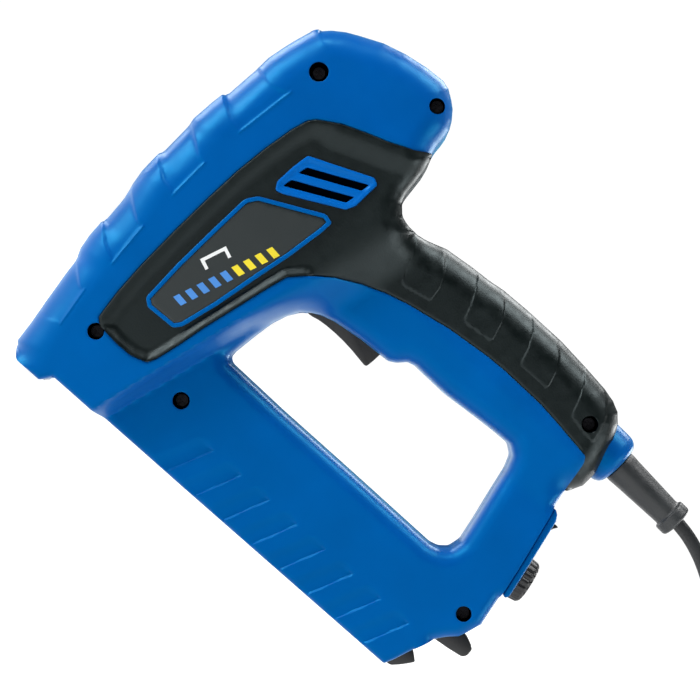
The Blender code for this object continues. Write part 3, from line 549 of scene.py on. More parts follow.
def cut(made, *cutters, solver="MANIFOLD"):
    """Subtracts the cutters from the object and removes them."""
    for cutter in cutters:
        change = made.modifiers.new("cut", "BOOLEAN")
        change.operation = "DIFFERENCE"
        change.object = cutter
        change.solver = solver
    graph = bpy.context.evaluated_depsgraph_get()
    mesh = bpy.data.meshes.new_from_object(made.evaluated_get(graph))
    made.modifiers.clear()
    made.data = mesh
    mesh.shade_smooth()
    mesh.set_sharp_from_angle(angle=math.radians(32))
    for cutter in cutters:
        bpy.data.objects.remove(cutter)
    return made


def at_panel(height):
    """Point on the rear panel's face at this height."""
    return (PANEL_TOP[0] + (PANEL_TOP[1] - height) * math.tan(PANEL_TILT), 0, height)


def on_panel(made, height):
    """Turns a piece modelled about the origin, with X outwards, onto the rear panel."""
    place = Matrix.Translation(Vector(at_panel(height)) * MM)
    made.data.transform(place @ Matrix.Rotation(-PANEL_TILT, 4, "Y"))
    return made


# Materials

class Nodes:
    """Short ways to build one material's node tree."""

    def __init__(self, name, colour, roughness, **sockets):
        self.material = bpy.data.materials.new(name)
        self.material.use_nodes = True
        self.tree = self.material.node_tree
        self.link = self.tree.links.new
        self.shader = self.tree.nodes["Principled BSDF"]
        self.colour = colour
        self.shader.inputs["Base Color"].default_value = (*colour, 1)
        self.shader.inputs["Roughness"].default_value = roughness
        for socket, value in sockets.items():
            self.shader.inputs[socket.replace("_", " ")].default_value = value
        self.place = self.tree.nodes.new("ShaderNodeTexCoord").outputs["Object"]
        self.bump = None

    def node(self, kind, **settings):
        made = self.tree.nodes.new(kind)
        for key, value in settings.items():
            setattr(made, key, value)
        return made

    def noise(self, scale, detail, stretch=None):
        made = self.node("ShaderNodeTexNoise")
        made.inputs["Scale"].default_value = scale
        made.inputs["Detail"].default_value = detail
        source = self.place
        if stretch:
            mapping = self.node("ShaderNodeMapping")
            mapping.inputs["Scale"].default_value = stretch
            self.link(source, mapping.inputs["Vector"])
            source = mapping.outputs["Vector"]
        self.link(source, made.inputs["Vector"])
        return made.outputs["Fac"]

    def pattern(self, kind, scale, output="Fac", **settings):
        made = self.node(kind, **settings)
        made.inputs["Scale"].default_value = scale
        self.link(self.place, made.inputs["Vector"])
        return made.outputs[output]

    def ranged(self, value, low, high):
        """The middle part of a noise, 0.3 to 0.7, spread between two numbers."""
        made = self.node("ShaderNodeMapRange")
        for socket, number in zip(("From Min", "From Max", "To Min", "To Max"), (0.3, 0.7, low, high)):
            made.inputs[socket].default_value = number
        self.link(value, made.inputs["Value"])
        return made.outputs["Result"]

    def tint(self, value, low, high):
        """Base colour between two multiples of the material's colour."""
        mixed = self.node("ShaderNodeMix", data_type="RGBA")
        mixed.inputs[6].default_value = (*(c * low for c in self.colour), 1)
        mixed.inputs[7].default_value = (*(c * high for c in self.colour), 1)
        self.link(value, mixed.inputs["Factor"])
        self.link(mixed.outputs[2], self.shader.inputs["Base Color"])
        return self

    def rough(self, value, low, high):
        self.link(self.ranged(value, low, high), self.shader.inputs["Roughness"])
        return self

    def bumped(self, value, height_mm, strength=1.0):
        made = self.node("ShaderNodeBump")
        made.inputs["Strength"].default_value = strength
        made.inputs["Distance"].default_value = height_mm * MM
        self.link(value, made.inputs["Height"])
        if self.bump:
            self.link(self.bump, made.inputs["Normal"])
        self.bump = made.outputs["Normal"]
        self.link(self.bump, self.shader.inputs["Normal"])
        return self


def moulded(name, colour, roughness, grain=0.012, **sockets):
    """Spark-textured moulded plastic with slight flow marks in its colour and gloss."""
    nodes = Nodes(name, colour, roughness, **sockets)
    cloudy = nodes.noise(38, 3)
    nodes.tint(nodes.ranged(cloudy, 0, 1), 0.93, 1.06)
    nodes.rough(nodes.noise(160, 4), roughness - 0.04, roughness + 0.06)
    nodes.bumped(nodes.noise(2600, 2), grain)
    nodes.bumped(nodes.noise(90, 2), 0.02, 0.5)
    return nodes.material


def rubbery(name, colour, roughness, **sockets):
    """Soft moulding with a pebbled grain, and a tone and gloss that vary at random."""
    nodes = Nodes(name, colour, roughness, **sockets)
    nodes.tint(nodes.ranged(nodes.noise(60, 4), 0, 1), 0.85, 1.2)
    nodes.rough(nodes.noise(240, 4), roughness - 0.07, roughness + 0.08)
    nodes.bumped(nodes.pattern("ShaderNodeTexVoronoi", 1500, "Distance"), 0.03, 0.8)
    nodes.bumped(nodes.noise(3200, 2), 0.01)
    return nodes.material


def metal(name, colour, roughness):
    """Brushed metal with fine drawn lines and darker handling marks."""
    nodes = Nodes(name, colour, roughness, Metallic=1.0)
    lines = nodes.noise(700, 3, (1, 1, 12))
    nodes.tint(nodes.ranged(nodes.noise(120, 4), 0, 1), 0.75, 1.05)
    nodes.rough(lines, roughness - 0.07, roughness + 0.12)
    nodes.bumped(lines, 0.006)
    return nodes.material


def wound_copper():
    nodes = Nodes("copper_wire", (0.42, 0.13, 0.04), 0.35, Metallic=1.0)
    turns = nodes.pattern("ShaderNodeTexWave", 600, bands_direction="Z")
    nodes.tint(turns, 0.35, 1.1)
    nodes.bumped(turns, 0.2)
    return nodes.material


def board():
    """Green circuit board with paler tracks."""
    nodes = Nodes("circuit_board", (0.012, 0.12, 0.045), 0.4)
    tracks = nodes.pattern("ShaderNodeTexBrick", 320)
    nodes.tint(tracks, 1.0, 2.2)
    nodes.bumped(tracks, 0.03)
    return nodes.material


BLUE = moulded("blue_plastic", (0.0, 0.070, 0.30), 0.34, Specular_Tint=(0.0, 0.65, 1.0, 1.0),
               Sheen_Weight=0.22, Sheen_Roughness=0.35, Sheen_Tint=(0.2, 0.85, 1.0, 1.0))
VENT_BLUE = moulded("vent_blue_plastic", (0.0, 0.095, 0.4), 0.33, Specular_Tint=(0.1, 0.55, 1.0, 1.0))
# Near-black painted shade, put where only shade falls: the walls of the screw recesses and the sheet behind
# the vent slots
PAINTED_SHADE = moulded("painted_shade_black", (0.0, 0.001, 0.003), 0.9, Specular_IOR_Level=0.0)
RUBBER = rubbery("black_soft_moulding", (0.002, 0.0038, 0.0038), 0.38, Specular_IOR_Level=0.33,
                 Specular_Tint=(0.8, 0.97, 1.0, 1.0), Sheen_Weight=0.1, Sheen_Roughness=0.15,
                 Sheen_Tint=(0.7, 0.85, 0.9, 1.0))
BADGE_GREY = moulded("badge_plate", (0.010, 0.016, 0.017), 0.42)
PRINT_WHITE = moulded("white_print", (0.7, 0.72, 0.72), 0.4)
PRINT_BLUE = moulded("blue_print", (0.05, 0.22, 0.6), 0.4)
PRINT_YELLOW = moulded("yellow_print", (0.75, 0.62, 0.02), 0.4)
POINTER_WHITE = moulded("pointer_white", (0.8, 0.8, 0.8), 0.45)
BLACK = moulded("black_plastic", (0.010, 0.011, 0.012), 0.38)
SLEEVE = rubbery("sleeve_rubber", (0.020, 0.023, 0.025), 0.45)
CORD_LOOK = moulded("cord_sheath", (0.016, 0.018, 0.020), 0.38, grain=0.008)
STEEL = metal("brushed_steel", (0.56, 0.57, 0.58), 0.3)
SPRING_STEEL = metal("spring_steel", (0.42, 0.42, 0.44), 0.28)
ZINC = metal("zinc_plate", (0.55, 0.56, 0.6), 0.32)
BLACK_STEEL = metal("blackened_steel", (0.03, 0.03, 0.035), 0.5)
BRASS = metal("plug_brass", (0.7, 0.52, 0.25), 0.25)
BUMPER = rubbery("bumper_rubber", (0.02, 0.02, 0.02), 0.8)
BOBBIN = moulded("bobbin_plastic", (0.72, 0.70, 0.62), 0.5)

CAD_LOOKS = {
    STEEL: ["solenoid_yoke", "armature", "driver_blade", "nose_guide", "magazine_channel", "magazine_rail",
            "guide_rod", "latch_pin", "trigger_pin", "heat_sink", "potentiometer"],
    ZINC: ["staple_strip", "pusher", "dial_shaft"],
    BLACK_STEEL: [f"housing_screw_{k}" for k in range(1, 7)],
    BUMPER: ["upper_bumper", "lower_bumper", "switch_plunger"],
    BOBBIN: ["coil_bobbin"],
    wound_copper(): ["coil_winding"],
    board(): ["circuit_board"],
    BLACK: ["trigger_switch", "capacitor", "rocker_frame"],
}


def dress_cad_nodes():
    for look, names in CAD_LOOKS.items():
        for name in names:
            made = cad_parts[name]
            made.data.materials.clear()
            made.data.materials.append(look)


# Springs: (node, body, joint that presses it, still end, moving end, mean radius, wire, turns, share kept)
SPRINGS = [
    ("return_spring", BODY, "driver_stroke", (6, 0, 128.3), (6, 0, 157.7), 9.0, 1.2, 7, 0.33),
    ("pusher_spring", "drawer", "pusher_retract", (185.4, 0, 14.2), (84.4, 0, 14.2), 2.0, 0.7, 20, 0.155),
    ("latch_spring", BODY, "latch_press", (193, 0, 43.5), (193, 0, 34.5), 2.4, 0.6, 4, 0.82),
    ("trigger_spring", BODY, "trigger_squeeze", (101.5, 0, 116.7), (101.5, 0, 110.3), 2.2, 0.5, 4, 0.42),
]


def wire_rings(length, radius, wire, turns):
    """Rings of points along a wire wound about Z."""
    rings = []
    for k in range(WIRE_STEPS * turns + 1):
        turn = 2 * math.pi * k / WIRE_STEPS
        outward = Vector((math.cos(turn), math.sin(turn), 0))
        height = wire / 2 + (length - wire) * k / (WIRE_STEPS * turns)
        ring = []
        for side in range(WIRE_SIDES):
            around = 2 * math.pi * side / WIRE_SIDES
            spot = outward * (radius + wire / 2 * math.cos(around))
            spot.z = height + wire / 2 * math.sin(around)
            ring.append(spot)
        rings.append(ring)
    return rings


def springs():
    """Wire coils from each spring's still end to its moving end."""
    for node, body, joint, still, moving, radius, wire, turns, keep in SPRINGS:
        along = Vector(moving) - Vector(still)
        to_axis = Vector((0, 0, 1)).rotation_difference(along).to_matrix()
        rings = wire_rings(along.length, radius, wire, turns)
        shape = tube([[Vector(still) + to_axis @ spot for spot in ring] for ring in rings])
        coil = piece(from_bmesh(f"{node}_wire", shape, SPRING_STEEL), body, node)
        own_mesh(coil)


# Housing

SILHOUETTE = FRONT_EDGE + TOP_EDGE + GRIP_EDGE + REAR_EDGE + PANEL_EDGE + LOWER_REAR_EDGE + FOOT_EDGE
BLUE_OUTLINE = (FRONT_EDGE + TOP_EDGE[:-1] + PARTING_LINE[::-1] + REAR_EDGE[1:] + PANEL_INNER
                + LOWER_REAR_EDGE + FOOT_EDGE)
RUBBER_OUTLINE = GRIP_EDGE + PARTING_LINE


def flute_lines():
    lines = []
    for k in range(FLUTE_COUNT):
        for edge in (0.0, FLUTE_WIDTH - 0.5):
            x = FLUTE_START + k * FLUTE_PITCH + edge
            rise = FLUTE_Z[1] - FLUTE_Z[0]
            lines.append([(x, FLUTE_Z[0]), (x + FLUTE_LEAN * rise, FLUTE_Z[1]), (x + 0.01, FLUTE_Z[0])])
    return lines


def hollow(made, name, side, recesses):
    """Takes out the inside, but for a post round each screw recess."""
    loops = [inset(smoothed(SILHOUETTE), WALL), inset(OPENING_LOOP, -WALL)]
    loops += [circle(x, z, radius + BOSS_WALL) for x, z, radius in recesses]
    cavity = field(f"{name}_cavity", loops, side, lambda p: side_half(p) - rounding(p) - WALL, level(-4),
                   made.data.materials[0], rings=(), step=4.0)
    return cut(made, cavity)


def polygon_vectors(mesh, which):
    values = np.empty(len(mesh.polygons) * 3)
    mesh.polygons.foreach_get(which, values)
    return values.reshape(-1, 3)


def paint_recess_shade(made, recesses):
    """Gives the walls of the screw recesses a near-black material: painted shade, for the shade that falls
    in them.
    """
    mesh = made.data
    mesh.materials.append(PAINTED_SHADE)
    centres = polygon_vectors(mesh, "center") / MM
    upright = np.abs(polygon_vectors(mesh, "normal")[:, 1]) < 0.2
    dark = np.zeros(len(centres), bool)
    for x, z, radius in recesses:
        dark |= upright & (np.hypot(centres[:, 0] - x, centres[:, 2] - z) < radius + 0.1)
    mesh.polygons.foreach_set("material_index", dark.astype(np.int32) * (len(mesh.materials) - 1))
    mesh.update()


def collar_gap():
    return drum_cutter(12.5, -7.3, 20, COLLAR_CENTRE, CORD_AXIS, 72)


def blue_half(name, side):
    recesses = [r for k, r in enumerate(RECESSES) if k != GRIP_RECESS] if side < 0 else []
    loops = [smoothed(BLUE_OUTLINE), OPENING_LOOP] + [circle(*recess) for recess in recesses]
    made = field(f"{name}_housing", loops, side, blue_height(side), level(SEAM), BLUE, step=1.2,
                 fine_lines=SCOOPS + flute_lines(), seam=0.35)
    made = hollow(made, name, side, RECESSES)
    nose = box_cutter((-6.4, 6.4), (-10.4, 10.4), (-2, 8))
    drawer = box_cutter((186, 210), (-7.6, 7.6), (4, 19.2))
    latch_gap = box_cutter((196, 222), (-7.6, 7.6), (24, 39))
    trigger_gap = box_cutter((67.5, 108), (-7.4, 7.4), (88, 112))
    switch = on_panel(box_cutter((-12, 6), (-8.2, 8.2), (-6.7, 6.7)), SWITCH_HEIGHT)
    cut(made, nose, drawer, latch_gap, trigger_gap, collar_gap(), switch)
    if recesses:
        paint_recess_shade(made, recesses)
    return piece(made, BODY, f"{name}_shell")


def rubber_half(name, side):
    recesses = [RECESSES[GRIP_RECESS]] if side < 0 else []
    loops = [smoothed(RUBBER_OUTLINE), VENT_LOOP, BADGE_LOOP] + [circle(*recess) for recess in recesses]
    made = field(f"{name}_soft_moulding", loops, side, rubber_height(side), level(SEAM), RUBBER, step=1.2,
                 fine_lines=GRIP_PADS + [inset(BADGE_LOOP, -3.2), inset(VENT_LOOP, -3.2)], seam=0.35)
    made = cut(hollow(made, name, side, [RECESSES[GRIP_RECESS]]), collar_gap())
    if recesses:
        paint_recess_shade(made, recesses)
    return piece(made, BODY, f"{name}_grip")


def plate_height(drop):
    return lambda points: side_half(points) + 0.9 * smoothstep((95 - points[:, 0]) / 35) - drop


def vent_half(name, side):
    """Blue louvred insert with a raised rim and two slots."""
    outer = inset(VENT_LOOP, 0.15)
    slots = [smoothed(slot, 1.5) for slot in VENT_SLOTS]
    slot_tree = edge_tree(slots)

    def height(points):
        rim = distances(edge_tree([outer]), points)
        dish = 0.5 * smoothstep((rim - 1.3) / 0.7)
        lip = edge_drop(distances(slot_tree, points), 0.5)
        return plate_height(0.7)(points) - dish - np.maximum(lip, edge_drop(rim, 0.5))

    made = field(f"{name}_vent_insert", [outer] + slots, side, height, plate_height(4.5), VENT_BLUE,
                 rings=(0.15, 0.5, 1.0), step=0.8)
    # A near-black sheet behind the slots: painted shade, for the shade inside the vent
    shade_sheet = field(f"{name}_vent_shade_sheet", [inset(VENT_LOOP, 1.0)], side, plate_height(3.2),
                   plate_height(4.2), PAINTED_SHADE, rings=(), step=3.0)
    piece(shade_sheet, BODY)
    return piece(made, BODY, f"{name}_vent")


def badge_marks():
    """Outline and look of each printed mark: a staple, and slanted bars, five blue and four yellow."""
    along, across = Vector((0.37, 0.93)), Vector((0.93, -0.37))

    def outline(corners):
        return [tuple(BADGE_FOOT + along * a + across * b) for a, b in corners]

    staple = [(20, -9.4), (32, -9.4), (32, -4.4), (30.6, -4.4), (30.6, -8.0), (21.4, -8.0), (21.4, -4.4),
              (20, -4.4)]
    marks = [(outline(staple), PRINT_WHITE)]
    for k in range(9):
        low, high = 3 + 5.4 * k, 5.8 + 5.4 * k
        look = PRINT_BLUE if k < 5 else PRINT_YELLOW
        marks.append((outline([(low, -0.5), (low + 1.2, 4.2), (high + 1.2, 4.2), (high, -0.5)]), look))
    return marks


def plate(name, loops, side, drop, radius, look, rings, step):
    """A plate with rounded edges, let into the side."""
    tree = edge_tree(loops)
    return field(name, loops, side, lambda p: plate_height(drop)(p) - edge_drop(distances(tree, p), radius),
                 plate_height(4.0), look, rings, step)


def badge_half(name, side):
    """Grey plate with a blue rim and printed marks."""
    rim_loops = [inset(BADGE_LOOP, -0.2), inset(BADGE_LOOP, 1.6)]
    piece(plate(f"{name}_badge_rim", rim_loops, side, 0.3, 0.45, BLUE, (0.12, 0.35), 0.6), BODY)
    for k, (mark, look) in enumerate(badge_marks()):
        printed = field(f"{name}_badge_mark_{k}", [mark], side, plate_height(0.66), plate_height(1.6), look,
                        rings=(), step=1.5)
        piece(printed, BODY)
    face_loops = [inset(BADGE_LOOP, 1.65)]
    face = plate(f"{name}_badge_plate", face_loops, side, 0.75, 0.4, BADGE_GREY, (0.15, 0.4), 1.5)
    piece(face, BODY, f"{name}_badge")


# Rear panel and its controls

def rear_panel():
    outline = [(204.3, 103.0)] + PANEL_EDGE + [(x + 0.3, z) for x, z in reversed(PANEL_INNER)]
    made = prism("rear_control_panel", outline, (-14.5, 14.5), BLUE, 1.6, 4)
    switch_hole = on_panel(box_cutter((-8, 6), (-7.0, 7.0), (-5.6, 5.6)), SWITCH_HEIGHT)
    dial_hole = drum_cutter(3.6, -8, 6, at_panel(KNOB_HEIGHT), PANEL_NORMAL, 32)
    cut(made, switch_hole, dial_hole, solver="EXACT")
    return piece(made, BODY, "rear_panel")


def power_dial():
    """Scalloped dial with a white pointer line on its face."""
    def scallops(turn, radius, height):
        return -0.55 * (0.5 + 0.5 * math.cos(18 * turn)) ** 2 if radius > 8.5 and height > 0.9 else 0.0

    profile = [(0, 0.4), (9.9, 0.4), (9.9, 1.4), (9.6, 4.4), (8.6, 5.6), (7.4, 6.0), (7.0, 5.3), (0, 5.3)]
    spot = at_panel(KNOB_HEIGHT)
    made = turned("dial_knob", rounded_profile(profile, 0.4), spot, PANEL_NORMAL, BLACK, 216, scallops)
    piece(made, "dial", "power_dial")
    mark = block("dial_pointer", (5.2, 5.55), (-0.5, 0.5), (2.0, 6.6), POINTER_WHITE, 0.1)
    return piece(on_panel(mark, KNOB_HEIGHT), "dial")


def rocker():
    outline = [(-3.6, -1.5), (-0.9, -4.1), (-0.4, -4.1), (0.35, -1.6), (0.6, 0), (1.5, 1.7), (2.9, 3.1),
               (2.7, 3.4), (2.2, 3.6), (-0.9, 3.7), (-3.6, 1.5)]
    made = on_panel(prism("rocker_cap", outline, (-5.3, 5.3), BLACK, 0.25, 3), SWITCH_HEIGHT)
    return piece(made, "rocker", "power_rocker")


def latch():
    """Ribbed thumb lever."""
    outline = [
        (189.5, 19.6), (192.5, 19.6), (192.5, 28.0), (203, 27.2), (210, 28.0), (217, 29.2), (218.4, 31),
        (218.4, 34.4), (216.6, 35.7), (214, 36.8), (210.5, 37.3), (207, 37.4), (202, 35.5), (189.5, 33.5),
    ]
    made = prism("thumb_latch", outline, (-6.0, 6.0), BLACK, 0.8, 3)
    bore = drum_cutter(1.8, -10, 10, (200.5, 0, 31), (0, 1, 0))
    grooves = [box_cutter((215.2 + 1.2 * k, 215.7 + 1.2 * k), (-4.6, 4.6), (34.9 - 0.9 * k, 40))
               for k in range(2)]
    cut(made, bore, *grooves, solver="EXACT")
    return piece(made, "latch_lever", "magazine_latch")


def magazine_tail():
    outline = [(188.3, 8.6), (191, 7.4), (193.4, 6.2), (196.5, 6.6), (199, 9), (201.6, 12), (203.5, 14.5),
               (201.3, 16.4), (198.8, 18.1), (188.3, 18.1)]
    made = prism("drawer_tail", outline, (-7.2, 7.2), BLACK, 0.7, 3)
    return piece(made, "drawer", "magazine_tail")


def trigger():
    """Finger trigger with a dished front and a bore for its pin."""
    outline = [
        (69.5, 97), (70.2, 95.9), (71, 95.4), (73, 95.6), (76, 96.3), (80, 96.7), (85, 96.8), (90, 96.6),
        (95, 96.1), (99.5, 95.4), (103.3, 94.8), (104.4, 95.0), (104.7, 95.8), (105.2, 98.5),
        (105.6, 102.5), (104.5, 110), (72, 110), (69.2, 104),
    ]
    made = prism("finger_trigger", outline, (-7.0, 7.0), BLACK, 1.1, 4)
    cut(made, drum_cutter(1.8, -10, 10, (74.5, 0, 105.5), (0, 1, 0)), solver="EXACT")
    return piece(made, "trigger_lever", "trigger")


# Mains cord

CORD_WIDTH, CORD_THICKNESS = 6.0, 3.8
DROP_ROUTE = [
    (248.7, 0, 133.1), (255, 0, 132.0), (261, 0, 130.2), (268, 0, 127.2), (276, 0, 122.5), (285, 0, 116),
    (294, 0, 107.5), (302.8, 0, 97.4), (309.8, 0, 85.4), (314.4, 0, 72), (316.6, 0, 58), (317.2, 0.8, 46),
    (318.0, 3.8, 36.6), (318.3, 9.2, 29), (318.3, 16.4, 23.4), (318.0, 24.3, 19.7), (317.7, 35.5, 16.2),
]
COIL_CENTRE = (281.0, 47.5)
OUTER_TURN, INNER_TURN = 36.07, 29.93
LAYER_HEIGHTS = (14.3, 10.2, 6.1, 2.0)
JOG_START = math.radians(305)
LEAD_ARC_CENTRE, LEAD_ARC_RADIUS = (268.93, 4.0), 24.0
LEVELLING = (135, 60)
PLUG_END = (271.1, -20.0, 6.5)


def on_circle(centre, radius, turn, height):
    return centre[0] + radius * math.cos(turn), centre[1] + radius * math.sin(turn), height


def coil_points():
    """Four layers of two turns, from the top down, each a circle with a short jog to the next one."""
    stations = []
    for k, height in enumerate(LAYER_HEIGHTS):
        radii = (OUTER_TURN, INNER_TURN) if k % 2 == 0 else (INNER_TURN, OUTER_TURN)
        stations += [(radius, height) for radius in radii]
    points = []
    last = (len(stations) - 1) * 2 * math.pi + math.pi
    for turn in np.arange(0.0, last + 0.01, math.radians(5)):
        lap, angle = divmod(turn, 2 * math.pi)
        here = stations[int(lap)]
        after = stations[min(int(lap) + 1, len(stations) - 1)]
        share = float(smoothstep((angle - JOG_START) / (2 * math.pi - JOG_START)))
        radius = here[0] + (after[0] - here[0]) * share
        height = here[1] + (after[1] - here[1]) * share
        points.append(on_circle(COIL_CENTRE, radius, angle, height))
    return points


def lead_points():
    """From the coil's lowest turn along the floor and up into the plug."""
    points = [(LEAD_ARC_CENTRE[0] - LEAD_ARC_RADIUS, y, 2.0) for y in (40, 32, 24, 16, 10)]
    for k in range(7):
        turn = math.radians(180 + 90 * k / 6)
        rise = float(smoothstep((k - 2) / 4.5))
        points.append(on_circle(LEAD_ARC_CENTRE, LEAD_ARC_RADIUS, turn, 2.0 + 4.5 * rise))
    return points + [PLUG_END]


def smooth_route(points, spacing):
    """Evenly spaced points on a smooth curve through the given ones."""
    controls = [Vector(p) for p in points]
    controls = [2 * controls[0] - controls[1]] + controls + [2 * controls[-1] - controls[-2]]
    dense = []
    for a, b, c, d in zip(controls, controls[1:], controls[2:], controls[3:]):
        for k in range(12):
            t = k / 12
            dense.append(0.5 * (2 * b + (c - a) * t + (2 * a - 5 * b + 4 * c - d) * t ** 2
                                + (3 * b - a - 3 * c + d) * t ** 3))
    dense.append(controls[-2])
    lengths = np.cumsum([0] + [(q - p).length for p, q in zip(dense, dense[1:])])
    wanted = np.linspace(0, lengths[-1], round(lengths[-1] / spacing) + 1)
    columns = [np.interp(wanted, lengths, [p[k] for p in dense]) for k in range(3)]
    return np.stack(columns, 1), float(lengths[-1])


def cord_section():
    """Two lobes side by side with a waist between them."""
    lobe = CORD_THICKNESS / 2
    offset = CORD_WIDTH / 2 - lobe
    section = []
    for k in range(CORD_SIDES):
        turn = 2 * math.pi * k / CORD_SIDES
        across = offset * math.tanh(3.0 * math.cos(turn)) + lobe * math.cos(turn)
        waist = 1 - 0.16 * math.exp(-(across / 0.9) ** 2)
        section.append((across, lobe * math.sin(turn) * waist))
    return section


def mains_cord():
    """Flat twin-core cord, upright in the drop and turning to level in the coil."""
    route, length = smooth_route(DROP_ROUTE + coil_points() + lead_points(), 1.6)
    along = np.gradient(route, axis=0)
    along /= np.linalg.norm(along, axis=1)[:, None]
    travelled = np.linspace(0, length, len(route))
    level_share = smoothstep((travelled - LEVELLING[0]) / LEVELLING[1])[:, None]
    thin = (1 - level_share) * np.array([0.0, 1.0, 0.0]) + level_share * np.array([0.0, 0.0, 1.0])
    thin -= (thin * along).sum(1)[:, None] * along
    thin /= np.linalg.norm(thin, axis=1)[:, None]
    wide = np.cross(along, thin)
    section = cord_section()
    rows = [[spot + w * a + t * b for a, b in section] for spot, w, t in zip(route, wide, thin)]
    made = from_bmesh("mains_cord", tube(rows), CORD_LOOK, 60)
    piece(made, BODY, "power_cord", "cord_coil", "cord_lead")
    return made, route * MM, length * MM


def strain_relief():
    """Tapered sleeve with an end flange."""
    profile = [(0, -9.7), (8.4, -9.7), (8.4, -7.3), (5.5, -7.3), (5.5, 7.7), (7.35, 7.7), (7.45, 9.5)]
    profile += [(7.35 - 1.2 * (h - 9.5) / 27, h) for h in (12, 16, 20, 24, 28, 32, 35.5)]
    profile += [(6.2, 36.6), (6.6, 37.2), (7.5, 37.5), (7.6, 38.3), (7.6, 41.6), (7.2, 42.4), (6.2, 42.8),
                (3.6, 42.8), (3.2, 42.3), (0, 42.3)]
    made = turned("cord_sleeve", rounded_profile(profile, 0.4), COLLAR_CENTRE, CORD_AXIS, SLEEVE, 72)
    return piece(made, BODY, "strain_relief")


def collar():
    profile = [(5.8, -7), (12.2, -7), (12.2, 2.5), (11.9, 4.2), (11.0, 5.9), (9.6, 7.0), (8, 7.4),
               (5.8, 7.4)]
    made = turned("sleeve_collar", rounded_profile(profile, 0.5), COLLAR_CENTRE, CORD_AXIS, BLUE, 96)
    return piece(made, BODY, "cord_collar")


# Distance along the plug, half width and half height
PLUG_STATIONS = [
    (0.3, 4.0, 3.8), (0.9, 4.9, 4.7), (3.5, 6.0, 5.4), (9, 9.4, 6.2), (14, 11.1, 6.4), (22, 11.4, 6.4),
    (30, 11.4, 6.4), (32.6, 11.3, 6.3), (33.6, 10.6, 5.6),
]
PLUG_CORNER = 3.2
PIN_OFFSET = 9.2


def plug():
    """Flat two-pin plug: waisted body with finger grooves, and brass pins."""
    x, y, z = PLUG_END
    rows = []
    for along, half_wide, half_high in PLUG_STATIONS:
        row = []
        for k in range(PLUG_SIDES):
            turn = 2 * math.pi * k / PLUG_SIDES
            c, s = math.cos(turn), math.sin(turn)
            corner = (abs(c) ** PLUG_CORNER + abs(s) ** PLUG_CORNER) ** (-1 / PLUG_CORNER)
            row.append((x + along, y + half_wide * c * corner, z + half_high * s * corner))
        rows.append(row)
    body = from_bmesh("mains_plug", tube(rows), BLACK, 50)
    grooves = [box_cutter((x + 11 + 3.2 * k, x + 12.3 + 3.2 * k), (y - 6, y + 6), (z + 5.8, z + 8))
               for k in range(4)]
    cut(body, *grooves, solver="EXACT")
    pieces = [piece(body, BODY, "plug_body")]
    pin_profile = [(0, 0), (2.0, 0), (2.0, 16.9), (1.5, 17.9), (0, 18.1)]
    for number, side in ((1, -PIN_OFFSET), (2, PIN_OFFSET)):
        place = (x + 33.5, y + side, z)
        pin = turned(f"brass_pin_{number}", rounded_profile(pin_profile, 0.4), place, (1, 0, 0), BRASS, 32)
        pieces.append(piece(pin, BODY, f"plug_pin_{number}"))
    return pieces


# Camera, light and floor

CAMERA_ROLL = math.radians(41.5)
CAMERA_PLACE = (0.0947, -1.0, 0.0956)
CAMERA_LENS = 120
LIT_CENTRE = (0.09, 0, 0.1)

# Disc lights: (name, place, diameter, watts)
LIGHTS = [
    ("tent_nose", (-1.45, -0.55, 0.35), 0.9, 24),
    ("tent_top", (0.1, -0.25, 1.7), 1.0, 24),
    ("tent_nose_top", (-1.0, -0.45, 1.2), 0.5, 7),
    ("tent_cord", (1.5, -0.5, 0.3), 0.9, 9),
    ("tent_nose_back", (-1.2, 0.9, 0.5), 0.8, 10),
    ("tent_cord_back", (1.2, 0.9, 0.5), 0.8, 12),
    ("tent_back_top", (0.1, 1.0, 1.4), 0.8, 14),
]
# World light from the camera's side to the far side
WORLD_FADE = (("From Min", -0.9), ("From Max", 0.1), ("To Min", 0.08), ("To Max", 0.8))


def camera():
    """Square-on side view, rolled so that the nose points down to the left."""
    right = Vector((math.cos(CAMERA_ROLL), 0, math.sin(CAMERA_ROLL)))
    up = Vector((-math.sin(CAMERA_ROLL), 0, math.cos(CAMERA_ROLL)))
    data = bpy.data.cameras.new("camera")
    data.lens = CAMERA_LENS
    data.clip_end = 30
    data.sensor_width = 36
    made = bpy.data.objects.new("camera", data)
    bpy.context.scene.collection.objects.link(made)
    facing = Matrix((right, up, Vector((0, -1, 0)))).transposed().to_4x4()
    made.matrix_world = Matrix.Translation(CAMERA_PLACE) @ facing
    bpy.context.scene.camera = made


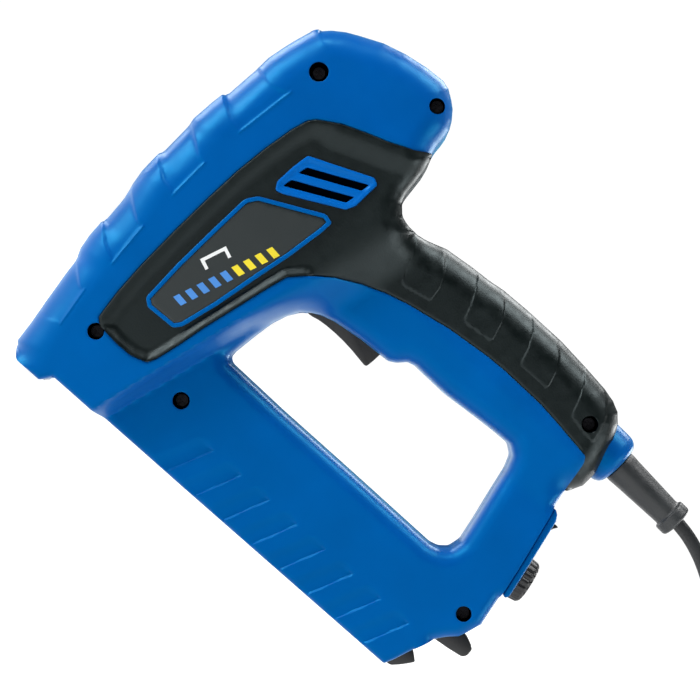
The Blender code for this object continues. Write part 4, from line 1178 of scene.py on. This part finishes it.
def lights():
    """A white tent round the object, dark on the camera's side."""
    for name, place, size, power in LIGHTS:
        data = bpy.data.lights.new(name, "AREA")
        data.shape = "DISK"
        data.size = size
        data.energy = power
        made = bpy.data.objects.new(name, data)
        made.location = place
        made.rotation_mode = "QUATERNION"
        made.rotation_quaternion = (Vector(LIT_CENTRE) - Vector(place)).to_track_quat("-Z", "Y")
        bpy.context.scene.collection.objects.link(made)
    world = bpy.data.worlds.new("studio")
    bpy.context.scene.world = world
    world.use_nodes = True
    tree = world.node_tree
    place = tree.nodes.new("ShaderNodeTexCoord")
    split = tree.nodes.new("ShaderNodeSeparateXYZ")
    fade = tree.nodes.new("ShaderNodeMapRange")
    for socket, value in WORLD_FADE:
        fade.inputs[socket].default_value = value
    tree.links.new(place.outputs["Generated"], split.inputs["Vector"])
    tree.links.new(split.outputs["Y"], fade.inputs["Value"])
    tree.links.new(fade.outputs["Result"], tree.nodes["Background"].inputs["Strength"])


def disc_mesh(name, profile, look):
    """A smooth surface turned about Z from a (radius, height) line in metres."""
    shape = bmesh.new()
    turns = [2 * math.pi * k / DISC_SIDES for k in range(DISC_SIDES)]
    rows = [[shape.verts.new(on_circle((0, 0), radius, turn, height)) for turn in turns]
            for radius, height in profile]
    for inner, outer in zip(rows, rows[1:]):
        for k in range(DISC_SIDES):
            n = (k + 1) % DISC_SIDES
            shape.faces.new([inner[k], outer[k], outer[n], inner[n]])
    bmesh.ops.remove_doubles(shape, verts=shape.verts, dist=1e-6)
    mesh = bpy.data.meshes.new(name)
    shape.to_mesh(mesh)
    shape.free()
    made = linked(name, mesh, look)
    return made


def glowing(name, colour, strength):
    nodes = Nodes(name, (colour,) * 3, 0.8, Specular_IOR_Level=0.0)
    nodes.shader.inputs["Emission Color"].default_value = (1, 1, 1, 1)
    nodes.shader.inputs["Emission Strength"].default_value = strength
    return nodes.material


def floor():
    """Pale floor, and a white backdrop round it that only the camera sees."""
    ground = disc_mesh("floor", [(0, 0), (0.6, 0), (8.0, 0)], glowing("pale_floor", 0.3, 1.0))
    ground.location.z = -0.0004
    dome = [(7, -0.1), (8.5, 0.4), (9, 2), (8.5, 5), (5, 8), (0, 9)]
    backdrop = disc_mesh("backdrop", dome, glowing("white_backdrop", 0.0, 1.05))
    backdrop.visible_diffuse = False
    backdrop.visible_glossy = False
    backdrop.visible_shadow = False


camera()
bpy.context.scene.view_settings.view_transform = "Standard"
dress_cad_nodes()
springs()
for half_name, half_side in (("left", -1), ("right", 1)):
    blue_half(half_name, half_side)
    rubber_half(half_name, half_side)
    vent_half(half_name, half_side)
    badge_half(half_name, half_side)
rear_panel()
power_dial()
rocker()
latch()
magazine_tail()
trigger()
collar()
strain_relief()
cord_piece, cord_route, cord_length = mains_cord()
plug_pieces = plug()
floor()
lights()
